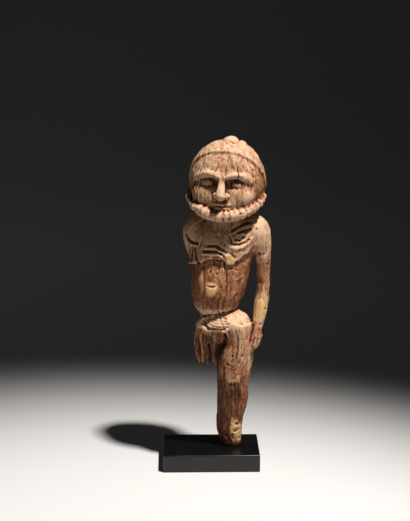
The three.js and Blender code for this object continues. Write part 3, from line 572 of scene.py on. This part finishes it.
def stains_and_shade(points, normals, torn, fine, broad):
    """Shares of each look of the wood: its tone from dark to pale, with painted shade on sides turned from the light,
    its ochre, and the grime and painted shade in its hollows and under overhangs.
    """
    heights, tones, _ = np.array(AGEING, float).T
    tone = np.interp(points[:, 2] + 3 * noise(points, (5, 5, 9), 25), heights, tones)
    ochre = np.zeros(len(points))
    for at, reach, target, yellow in PATCHES:
        share = zone(points, at, reach)
        tone += share * (target - tone)
        ochre += share * (yellow - ochre)
    tone += 0.08 * noise(points, (9, 9, 16), 22) + 0.06 * noise(points, (4, 4, 7), 23)
    tone += 0.05 * noise(points, (1.8, 1.8, 3), 26)
    # Torn wood is darker, and so are the faces turned to the back.
    tone -= 0.12 * torn + 0.22 * smooth(normals[:, 1], 0.1, 0.9)
    # Ridges are paler where worn, and broad bulges paler too; small hollows are darker with grime, and broad hollows
    # are darker as painted shade.
    tone += np.clip(-0.5 * fine, -0.4, 0.22) + np.clip(-0.08 * broad, -0.25, 0.12)
    # This share darkens the small hollows of the carving with grime, and the broad hollows and the faces turned down
    # with painted shade.
    grime_and_shade = smooth(fine, 0.12, 0.62) + 0.6 * smooth(broad, 0.9, 2.6) + 0.3 * smooth(-normals[:, 2], 0.4, 0.95)
    return {"tone": tone, "ochre": ochre, "grime_and_shade": grime_and_shade}


def to_figure(world):
    """Points in metres in the part's frame, as millimetres in the figure's frame."""
    x, y, z = (world / MM).T
    c, s = math.cos(-FIGURE_TURN), math.sin(-FIGURE_TURN)
    return np.stack([c * (x - FIGURE_X) - s * y, s * (x - FIGURE_X) + c * y, z], axis=1)


def to_world(local):
    x, y, z = local.T
    c, s = math.cos(FIGURE_TURN), math.sin(FIGURE_TURN)
    return np.stack([c * x - s * y + FIGURE_X, s * x + c * y, z], axis=1) * MM


class Skin:
    """The points of a mesh in the figure's frame, with the neighbours and normals of each."""

    def __init__(self, mesh):
        world = np.zeros(len(mesh.vertices) * 3)
        mesh.vertices.foreach_get("co", world)
        self.points = to_figure(world.reshape(-1, 3))
        edges = np.zeros(len(mesh.edges) * 2, int)
        mesh.edges.foreach_get("vertices", edges)
        self.edges = edges.reshape(-1, 2)
        corners = np.zeros(len(mesh.loops), int)
        mesh.loops.foreach_get("vertex_index", corners)
        starts = np.zeros(len(mesh.polygons), int)
        mesh.polygons.foreach_get("loop_start", starts)
        self.quads = corners[starts[:, None] + np.arange(4)]
        self.count = np.bincount(self.edges.ravel(), minlength=len(self.points))

    def around(self, values):
        """The mean over each point's neighbours."""
        a, b = self.edges.T
        total = np.bincount(a, values[b], len(values)) + np.bincount(b, values[a], len(values))
        return total / self.count

    def normals(self):
        a, b, c, d = (self.points[self.quads[:, n]] for n in range(4))
        face = np.cross(c - a, d - b)
        total = np.zeros_like(self.points)
        for n in range(4):
            for axis in range(3):
                total[:, axis] += np.bincount(self.quads[:, n], face[:, axis], len(total))
        return total / np.maximum(size_of(*total.T), 1e-9)[:, None]

    def relax(self, share):
        """Evens the points out along the surface."""
        pull = np.stack([self.around(axis) for axis in self.points.T], axis=1) - self.points
        normals = self.normals()
        self.points += share * (pull - (pull * normals).sum(axis=1)[:, None] * normals)

    def settle(self, step=0.05, limit=1.0):
        """Moves each point to where the figure's field is nought."""
        x, y, z = self.points.T
        here = figure_field(x, y, z)
        slope = np.stack([
            figure_field(x + step, y, z) - here,
            figure_field(x, y + step, z) - here,
            figure_field(x, y, z + step) - here,
        ], axis=1) / step
        move = -here[:, None] * slope / np.maximum((slope * slope).sum(axis=1), 0.2)[:, None]
        size = size_of(*move.T)[:, None]
        self.points += move * np.minimum(1, limit / np.maximum(size, 1e-9))

    def hollowness(self, rounds):
        """How far each point lies below its smoothed surroundings, in millimetres."""
        soft = self.points.copy()
        for _ in range(rounds):
            soft = np.stack([self.around(axis) for axis in soft.T], axis=1)
        return ((soft - self.points) * self.normals()).sum(axis=1)


def add_node(tree, kind, settings, inputs):
    """Adds a node with its settings, and gives inputs by name or number a value or a link."""
    node = tree.nodes.new(kind)
    for name, value in settings.items():
        setattr(node, name, value)
    for name, value in inputs.items():
        if isinstance(value, bpy.types.NodeSocket):
            tree.links.new(value, node.inputs[name])
        else:
            node.inputs[name].default_value = value
    return node


def new_material(name):
    material = bpy.data.materials.new(name)
    material.use_nodes = True
    material.node_tree.nodes.clear()
    return material, material.node_tree


def weathered_wood(settings):
    """Hardwood carved with a knife, dried and worn: matt, streaked along its upright grain, pale where
    hands and weather took the surface off and dark brown in the hollows, from grime in the carving and painted shade
    in broad hollows and under overhangs."""
    material, tree = new_material("weathered carved hardwood")
    place = add_node(tree, "ShaderNodeTexCoord", {}, {}).outputs["Object"]
    # Each pattern's lumps in millimetres across and along the grain. Real grain lines are about 0.6 mm
    # apart and are drawn here at 1 mm so that they show.
    patterns = {}
    for name, (across, along, detail, roughness) in {
        "streaks": (1.0, 20, 4, 0.65), "bands": (4.5, 34, 3, 0.5), "mottle": (2.4, 3.4, 5, 0.7),
        "specks": (0.9, 1.3, 3, 0.6), "fibres": (0.5, 7, 5, 0.6),
    }.items():
        scale = (1 / (across * MM), 1 / (across * MM), 1 / (along * MM))
        mapped = add_node(tree, "ShaderNodeMapping", {}, {"Vector": place, "Scale": scale}).outputs[0]
        patterns[name] = add_node(tree, "ShaderNodeTexNoise", {}, {
            "Vector": mapped, "Scale": 1.0, "Detail": detail, "Roughness": roughness}).outputs[0]
        if name == "specks":
            pores = add_node(tree, "ShaderNodeTexVoronoi", {}, {"Vector": mapped, "Scale": 0.8}).outputs[0]
    shares = {name: add_node(tree, "ShaderNodeAttribute", {"attribute_name": name}, {}).outputs["Fac"]
              for name in ("tone", "ochre", "grime_and_shade")}

    tone = shares["tone"]
    for name, weight in (("streaks", 0.9), ("bands", 0.5), ("mottle", 0.7), ("specks", 0.45)):
        offset = add_node(tree, "ShaderNodeMath", {"operation": "SUBTRACT"}, {0: patterns[name], 1: 0.5})
        tone = add_node(tree, "ShaderNodeMath", {"operation": "MULTIPLY_ADD"}, {
            0: offset.outputs[0], 1: weight, 2: tone}).outputs[0]
    ramps = {}
    for name, stops in {
        "brown": ((0, settings.dark_wood), (0.3, settings.brown_wood), (0.58, settings.red_wood),
                  (0.95, settings.pale_wood)),
        "ochre": ((0.1, settings.dark_wood), (0.5, settings.umber_wood), (0.9, settings.ochre_wood)),
    }.items():
        ramp = add_node(tree, "ShaderNodeValToRGB", {}, {0: tone})
        elements = ramp.color_ramp.elements
        for n, (position, colour) in enumerate(stops):
            element = elements[n] if n < 2 else elements.new(position)
            element.position = position
            element.color = colour
        ramps[name] = ramp.outputs[0]
    colour = add_node(tree, "ShaderNodeMix", {"data_type": "RGBA"}, {
        0: shares["ochre"], 6: ramps["brown"], 7: ramps["ochre"]}).outputs[2]
    pore = add_node(tree, "ShaderNodeMapRange", {}, {
        "Value": pores, "From Min": 0.08, "From Max": 0.3, "To Min": 0.6, "To Max": 0.0}).outputs[0]
    # Pores darken the wood, and the grime and shade share mixes in the dark wood: grime in the carving, painted shade
    # in broad hollows and under overhangs.
    for share in (pore, shares["grime_and_shade"]):
        colour = add_node(tree, "ShaderNodeMix", {"data_type": "RGBA"}, {
            0: share, 6: colour, 7: list(settings.dark_wood)}).outputs[2]

    normal = None
    for name, strength, distance in (("fibres", 0.5, 0.3), ("mottle", 0.6, 0.6), ("specks", 0.7, 0.5)):
        links = {"Strength": strength, "Distance": distance * MM, "Height": patterns[name]}
        if normal:
            links["Normal"] = normal
        normal = add_node(tree, "ShaderNodeBump", {}, links).outputs[0]
    rough = add_node(tree, "ShaderNodeMapRange", {}, {
        "Value": patterns["mottle"], "From Min": 0.3, "From Max": 0.7, "To Min": 0.6, "To Max": 0.85}).outputs[0]
    shader = add_node(tree, "ShaderNodeBsdfPrincipled", {}, {
        "Base Color": colour, "Roughness": rough, "Normal": normal, "IOR": 1.45, "Specular IOR Level": 0.4})
    add_node(tree, "ShaderNodeOutputMaterial", {}, {"Surface": shader.outputs[0]})
    return material


def black_lacquer(settings):
    """Wood under sprayed black lacquer, rubbed down: satin, with a soft sheen and a faint ripple."""
    material, tree = new_material("satin black lacquer")
    place = add_node(tree, "ShaderNodeTexCoord", {}, {}).outputs["Object"]
    # The ripple of a sprayed coat is about 2 mm long, dust lies in specks of 0.5 mm, and rubbing
    # leaves hazy patches of 18 mm
    patterns = {name: add_node(tree, "ShaderNodeTexNoise", {}, {
        "Vector": place, "Scale": 1 / (length * MM), "Detail": 3.0}).outputs[0]
        for name, length in (("ripple", 2), ("dust", 0.5), ("haze", 18))}
    specks = add_node(tree, "ShaderNodeMapRange", {}, {
        "Value": patterns["dust"], "From Min": 0.64, "From Max": 0.8}).outputs[0]
    colour = add_node(tree, "ShaderNodeMix", {"data_type": "RGBA"}, {
        0: specks, 6: list(settings.lacquer), 7: linear("#3a3836")}).outputs[2]
    rough = add_node(tree, "ShaderNodeMapRange", {}, {
        "Value": patterns["haze"], "From Min": 0.3, "From Max": 0.7,
        "To Min": settings.roughness - 0.05, "To Max": settings.roughness + 0.07}).outputs[0]
    bumped = add_node(tree, "ShaderNodeBump", {}, {
        "Strength": 0.1, "Distance": 0.1 * MM, "Height": patterns["ripple"]}).outputs[0]
    shader = add_node(tree, "ShaderNodeBsdfPrincipled", {}, {
        "Base Color": colour, "Roughness": rough, "Normal": bumped, "IOR": 1.5})
    add_node(tree, "ShaderNodeOutputMaterial", {}, {"Surface": shader.outputs[0]})
    return material


def link_new(name, mesh):
    piece = bpy.data.objects.new(name, mesh)
    bpy.context.scene.collection.objects.link(piece)
    return piece


def as_plain_mesh(piece):
    """Replaces a piece's mesh by what its modifiers make of it, and removes them."""
    evaluated = piece.evaluated_get(bpy.context.evaluated_depsgraph_get())
    mesh = bpy.data.meshes.new_from_object(evaluated)
    piece.modifiers.clear()
    piece.data = mesh
    return piece


def remeshed_copy(name, node, cell):
    """An even mesh of small quads in the shape of a CAD node."""
    source = bmesh.new()
    source.from_mesh(node.data)
    bmesh.ops.remove_doubles(source, verts=source.verts, dist=1e-7)
    mesh = bpy.data.meshes.new(name)
    source.to_mesh(mesh)
    source.free()
    piece = link_new(name, mesh)
    modifier = piece.modifiers.new("even", "REMESH")
    modifier.mode = "VOXEL"
    modifier.voxel_size = cell
    return as_plain_mesh(piece)


def paint_share(mesh, name, values):
    attribute = mesh.attributes.new(name, "FLOAT", "POINT")
    attribute.data.foreach_set("value", np.clip(values, 0, 1).astype(np.float32))


def add_input(tree, name, kind, default):
    socket = tree.interface.new_socket(name, in_out="INPUT", socket_type=kind)
    socket.default_value = default
    return socket.identifier


def use_tree(piece, tree, values):
    """Gives a piece a Geometry Nodes modifier with its inputs set by identifier."""
    modifier = piece.modifiers.new(tree.name, "NODES")
    modifier.node_group = tree
    for identifier, value in values.items():
        modifier[identifier] = value
    return as_plain_mesh(piece)


def new_tree(name):
    tree = bpy.data.node_groups.new(name, "GeometryNodeTree")
    tree.interface.new_socket("Geometry", in_out="INPUT", socket_type="NodeSocketGeometry")
    tree.interface.new_socket("Geometry", in_out="OUTPUT", socket_type="NodeSocketGeometry")
    return tree


def plinth_tree(material, sizes, edge):
    """A box whose edges and corners are rounded, each by the same number of steps."""
    tree = new_tree("rounded plinth")
    names = {"Size": add_input(tree, "Size", "NodeSocketVector", sizes)}
    names["Edge"] = add_input(tree, "Edge", "NodeSocketFloat", edge)
    given = add_node(tree, "NodeGroupInput", {}, {}).outputs
    steps = 5
    # A cube from -1 to 1, whose middle pair of vertex rows spreads out to the flat faces and whose
    # other rows make the edges
    inner = 1 / (2 * steps - 1)
    cube = add_node(tree, "GeometryNodeMeshCube", {}, {
        "Size": (2, 2, 2), "Vertices X": 2 * steps, "Vertices Y": 2 * steps, "Vertices Z": 2 * steps})
    place = add_node(tree, "GeometryNodeInputPosition", {}, {}).outputs[0]
    edges = add_node(tree, "ShaderNodeCombineXYZ", {}, {n: given["Edge"] for n in range(3)}).outputs[0]
    found = {"place": place, "edges": edges, "size": given["Size"]}
    for name, operation, first, second in (
        ("side", "SIGN", "place", None), ("reach", "ABSOLUTE", "place", None),
        ("over", "SUBTRACT", "reach", (inner, inner, inner)), ("out", "MULTIPLY", "side", "over"),
        ("ahead", "NORMALIZE", "out", None), ("half", "MULTIPLY", "size", (0.5, 0.5, 0.5)),
        ("flat", "SUBTRACT", "half", "edges"), ("corner", "MULTIPLY", "side", "flat"),
        ("round", "MULTIPLY", "ahead", "edges"), ("moved", "ADD", "corner", "round"),
        ("rise", "MULTIPLY", "size", (0, 0, 0.5)), ("raised", "ADD", "moved", "rise"),
    ):
        inputs = {0: found[first]}
        if second:
            inputs[1] = found[second] if isinstance(second, str) else second
        found[name] = add_node(tree, "ShaderNodeVectorMath", {"operation": operation}, inputs).outputs[0]
    placed = add_node(tree, "GeometryNodeSetPosition", {}, {
        "Geometry": cube.outputs["Mesh"], "Position": found["raised"]}).outputs[0]
    smoothed = add_node(tree, "GeometryNodeSetShadeSmooth", {}, {"Geometry": placed}).outputs[0]
    real = add_node(tree, "GeometryNodeRealizeInstances", {}, {"Geometry": smoothed}).outputs[0]
    finished = add_node(tree, "GeometryNodeSetMaterial", {}, {"Geometry": real, "Material": material})
    add_node(tree, "NodeGroupOutput", {}, {0: finished.outputs[0]})
    return tree, names


class StatuetteFigureSettings(bpy.types.PropertyGroup):
    """Sizes and colours of the carved figure."""

    cell: bpy.props.FloatProperty(
        name="Mesh Size", description="Side of the small quads that the figure is carved from",
        default=0.85 * MM, min=0.5 * MM, max=3 * MM, subtype="DISTANCE", unit="LENGTH", precision=5)
    grain_depth: bpy.props.FloatProperty(
        name="Grain Depth", description="Depth of the upright grain in the worn surface",
        default=0.2 * MM, min=0, max=1 * MM, subtype="DISTANCE", unit="LENGTH", precision=5)
    crack_depth: bpy.props.FloatProperty(
        name="Crack Depth", description="Depth of the drying cracks that run along the grain",
        default=0.9 * MM, min=0, max=3 * MM, subtype="DISTANCE", unit="LENGTH", precision=5)
    pit_depth: bpy.props.FloatProperty(
        name="Pit Depth", description="Depth of the pits that rot and borers left",
        default=0.9 * MM, min=0, max=3 * MM, subtype="DISTANCE", unit="LENGTH", precision=5)
    pale_wood: bpy.props.FloatVectorProperty(
        name="Pale Wood", description="Colour of the wood where it is worn and bleached",
        default=linear("#dcb592"), size=4, min=0, max=1, subtype="COLOR")
    red_wood: bpy.props.FloatVectorProperty(
        name="Red Wood", description="Colour of the wood between the pale and the brown",
        default=linear("#a0663f"), size=4, min=0, max=1, subtype="COLOR")
    brown_wood: bpy.props.FloatVectorProperty(
        name="Brown Wood", description="Colour of the wood where it has kept its brown skin",
        default=linear("#60361f"), size=4, min=0, max=1, subtype="COLOR")
    ochre_wood: bpy.props.FloatVectorProperty(
        name="Ochre Wood", description="Colour of the yellowish patches where they are palest",
        default=linear("#dcb073"), size=4, min=0, max=1, subtype="COLOR")
    umber_wood: bpy.props.FloatVectorProperty(
        name="Umber Wood", description="Colour of the yellowish patches where they are darker",
        default=linear("#94602c"), size=4, min=0, max=1, subtype="COLOR")
    # Dark Wood is also the colour of the painted shade in broad hollows and under overhangs.
    dark_wood: bpy.props.FloatVectorProperty(
        name="Dark Wood", description="Colour of torn wood and of grime in the hollows",
        default=linear("#2b1810"), size=4, min=0, max=1, subtype="COLOR")


class StatuettePlinthSettings(bpy.types.PropertyGroup):
    """Sizes and finish of the plinth."""

    size: bpy.props.FloatVectorProperty(
        name="Size", description="Width, depth and height of the plinth",
        default=tuple(PLINTH_HIGH - PLINTH_LOW), size=3, min=0.001, subtype="XYZ", unit="LENGTH")
    edge: bpy.props.FloatProperty(
        name="Edge Radius", description="Radius of the rounded edges",
        default=0.9 * MM, min=0.1 * MM, max=5 * MM, subtype="DISTANCE", unit="LENGTH", precision=5)
    lacquer: bpy.props.FloatVectorProperty(
        name="Lacquer", description="Colour of the lacquer",
        default=linear("#0a0a0a"), size=4, min=0, max=1, subtype="COLOR")
    roughness: bpy.props.FloatProperty(
        name="Roughness", description="How dull the lacquer has been rubbed",
        default=0.25, min=0, max=1, subtype="FACTOR")


class StatuetteStageSettings(bpy.types.PropertyGroup):
    """The floor, the lights and the camera."""

    floor: bpy.props.FloatVectorProperty(
        name="Floor", description="Colour of the floor and the backdrop",
        default=linear("#cfcdcb"), size=4, min=0, max=1, subtype="COLOR")
    camera_at: bpy.props.FloatVectorProperty(
        name="Camera", description="Where the camera stands",
        default=(-0.034888, -1.409334, 0.489459), size=3, subtype="TRANSLATION", unit="LENGTH")
    elevation: bpy.props.FloatProperty(
        name="Camera Elevation", description="How far the camera looks down",
        default=math.radians(12), subtype="ANGLE", unit="ROTATION")
    azimuth: bpy.props.FloatProperty(
        name="Camera Azimuth", description="How far round the camera stands",
        default=math.radians(-1.2), subtype="ANGLE", unit="ROTATION")
    lens: bpy.props.FloatProperty(
        name="Focal Length", description="Focal length over the picture's longer side of 36 mm",
        default=110.56, min=10, subtype="DISTANCE_CAMERA", unit="CAMERA")
    key_power: bpy.props.FloatProperty(
        name="Key Light", description="Power of the soft light high in front at the right",
        default=240, min=0, subtype="POWER", unit="POWER")
    fill_power: bpy.props.FloatProperty(
        name="Fill Light", description="Power of the broad light high behind",
        default=0.8, min=0, subtype="POWER", unit="POWER")


class STATUETTE_OT_figure(bpy.types.Operator):
    """Carve the figure, weather it and give it its wood"""

    bl_idname = "statuette.figure"
    bl_label = "Carve Figure"

    def execute(self, context):
        settings = context.scene.statuette_figure
        piece = remeshed_copy("carved_figure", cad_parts["statuette"], settings.cell)
        mesh = piece.data
        skin = Skin(mesh)
        for _ in range(4):
            skin.relax(0.5)
            skin.settle()
        skin.settle()
        normals = skin.normals()
        torn = torn_share(skin.points)
        height = carving(skin.points, normals) + weathering(skin.points, normals, torn, settings)
        sunk = np.maximum(0, 1.2 - (skin.points[:, 2] - FOOT_Z))
        height *= 1 - smooth(sunk, 0, 1.2)
        skin.points += height[:, None] * normals
        fine, broad = skin.hollowness(5), skin.hollowness(50)
        for name, values in stains_and_shade(skin.points, skin.normals(), torn, fine, broad).items():
            paint_share(mesh, name, values)
        # The relief stays inside the figure's own box
        placed = np.clip(to_world(skin.points), *map(np.array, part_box("statuette")))
        mesh.vertices.foreach_set("co", placed.ravel())
        mesh.polygons.foreach_set("use_smooth", np.ones(len(mesh.polygons), bool))
        mesh.update()
        mesh.materials.clear()
        mesh.materials.append(weathered_wood(settings))
        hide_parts("statuette")
        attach(piece, "root")
        return {"FINISHED"}


class STATUETTE_OT_plinth(bpy.types.Operator):
    """Make the lacquered plinth"""

    bl_idname = "statuette.plinth"
    bl_label = "Make Plinth"

    def execute(self, context):
        settings = context.scene.statuette_plinth
        tree, names = plinth_tree(black_lacquer(settings), settings.size, settings.edge)
        piece = link_new("lacquered_plinth", bpy.data.meshes.new("lacquered_plinth"))
        use_tree(piece, tree, {names["Size"]: list(settings.size), names["Edge"]: settings.edge})
        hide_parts("plinth")
        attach(piece, "root")
        return {"FINISHED"}


# The lamps, in metres
KEY_AT, KEY_AIM = Vector((0.475, -0.495, 1.765)), Vector((-0.046, -0.19, 0))
KEY_CONE, KEY_RADIUS = 15, 0.06
FILL_AT = (-0.7, 1.1, 1.5)


def backdrop_mesh(name, half, front, back, bend, top, steps=24):
    """A floor that curves up into a wall, as one strip."""
    profile = [(front, 0.0)]
    for n in range(steps + 1):
        angle = math.pi / 2 * n / steps
        profile.append((back - bend + bend * math.sin(angle), bend - bend * math.cos(angle)))
    profile.append((back, top))
    points = [(side * half, y, z) for y, z in profile for side in (-1, 1)]
    faces = [(2 * n, 2 * n + 1, 2 * n + 3, 2 * n + 2) for n in range(len(profile) - 1)]
    mesh = bpy.data.meshes.new(name)
    mesh.from_pydata(points, [], faces)
    mesh.polygons.foreach_set("use_smooth", np.ones(len(faces), bool))
    return mesh


def add_area_light(name, at, towards, side, power, colour=(1, 1, 1)):
    light = bpy.data.lights.new(name, "AREA")
    light.shape = "DISK"
    light.size = side
    light.energy = power
    light.color = colour
    lamp = link_new(name, light)
    lamp.location = at
    direction = np.array(towards, float) - np.array(at, float)
    lamp.rotation_euler = Vector(direction).to_track_quat("-Z", "Y").to_euler()
    return lamp


class STATUETTE_OT_stage(bpy.types.Operator):
    """Set the floor, the lights and the camera"""

    bl_idname = "statuette.stage"
    bl_label = "Set Stage"

    def execute(self, context):
        settings = context.scene.statuette_stage
        floor = link_new("floor", backdrop_mesh("floor", 3.0, -2.5, 2.2, 0.9, 2.6))
        material, tree = new_material("matt painted floor")
        shader = add_node(tree, "ShaderNodeBsdfPrincipled", {}, {"Base Color": settings.floor, "Roughness": 0.9})
        add_node(tree, "ShaderNodeOutputMaterial", {}, {"Surface": shader.outputs[0]})
        floor.data.materials.append(material)

        # The key hangs high in front of the figure's left shoulder and lights a pool round the plinth
        light = bpy.data.lights.new("key", "SPOT")
        light.energy = settings.key_power
        light.color = (1, 0.975, 0.95)
        light.spot_size = 2 * math.radians(KEY_CONE)
        light.spot_blend = 0.95
        light.shadow_soft_size = KEY_RADIUS
        lamp = link_new("key", light)
        lamp.location = KEY_AT
        lamp.rotation_euler = (KEY_AT - KEY_AIM).to_track_quat("Z", "Y").to_euler()
        add_area_light("fill", FILL_AT, (0, 0, 0.15), 1.0, settings.fill_power, (0.9, 0.95, 1))

        world = bpy.data.worlds.new("studio")
        world.use_nodes = True
        background = world.node_tree.nodes["Background"]
        background.inputs["Color"].default_value = linear("#5a5a5c")
        background.inputs["Strength"].default_value = 0.07
        context.scene.world = world

        camera = bpy.data.cameras.new("camera")
        camera.lens = settings.lens
        camera.sensor_fit = "AUTO"
        camera.sensor_width = 36
        view = link_new("camera", camera)
        view.location = settings.camera_at
        view.rotation_euler = (math.pi / 2 - settings.elevation, 0, settings.azimuth)
        context.scene.camera = view
        context.scene.view_settings.view_transform = "Standard"
        return {"FINISHED"}


class STATUETTE_PT_panel(bpy.types.Panel):
    """Lists what can be made and its sizes and colours"""

    bl_idname = "STATUETTE_PT_panel"
    bl_label = "Statuette"
    bl_space_type = "VIEW_3D"
    bl_region_type = "UI"
    bl_category = "Statuette"

    def draw(self, context):
        for operator, settings in PIECES:
            box = self.layout.box()
            box.operator(operator.bl_idname)
            group = getattr(context.scene, settings)
            for name in type(group).__annotations__:
                box.prop(group, name)


PIECES = [
    (STATUETTE_OT_figure, "statuette_figure"),
    (STATUETTE_OT_plinth, "statuette_plinth"),
    (STATUETTE_OT_stage, "statuette_stage"),
]
SETTINGS = {
    "statuette_figure": StatuetteFigureSettings,
    "statuette_plinth": StatuettePlinthSettings,
    "statuette_stage": StatuetteStageSettings,
}


def register():
    for name, group in SETTINGS.items():
        bpy.utils.register_class(group)
        setattr(bpy.types.Scene, name, bpy.props.PointerProperty(type=group))
    for operator, _ in PIECES:
        bpy.utils.register_class(operator)
    bpy.utils.register_class(STATUETTE_PT_panel)


def unregister():
    bpy.utils.unregister_class(STATUETTE_PT_panel)
    for operator, _ in PIECES:
        bpy.utils.unregister_class(operator)
    for name, group in SETTINGS.items():
        delattr(bpy.types.Scene, name)
        bpy.utils.unregister_class(group)


def main():
    register()
    bpy.ops.statuette.figure()
    bpy.ops.statuette.plinth()
    bpy.ops.statuette.stage()
    bpy.context.view_layer.update()


if __name__ == "__main__":
    main()
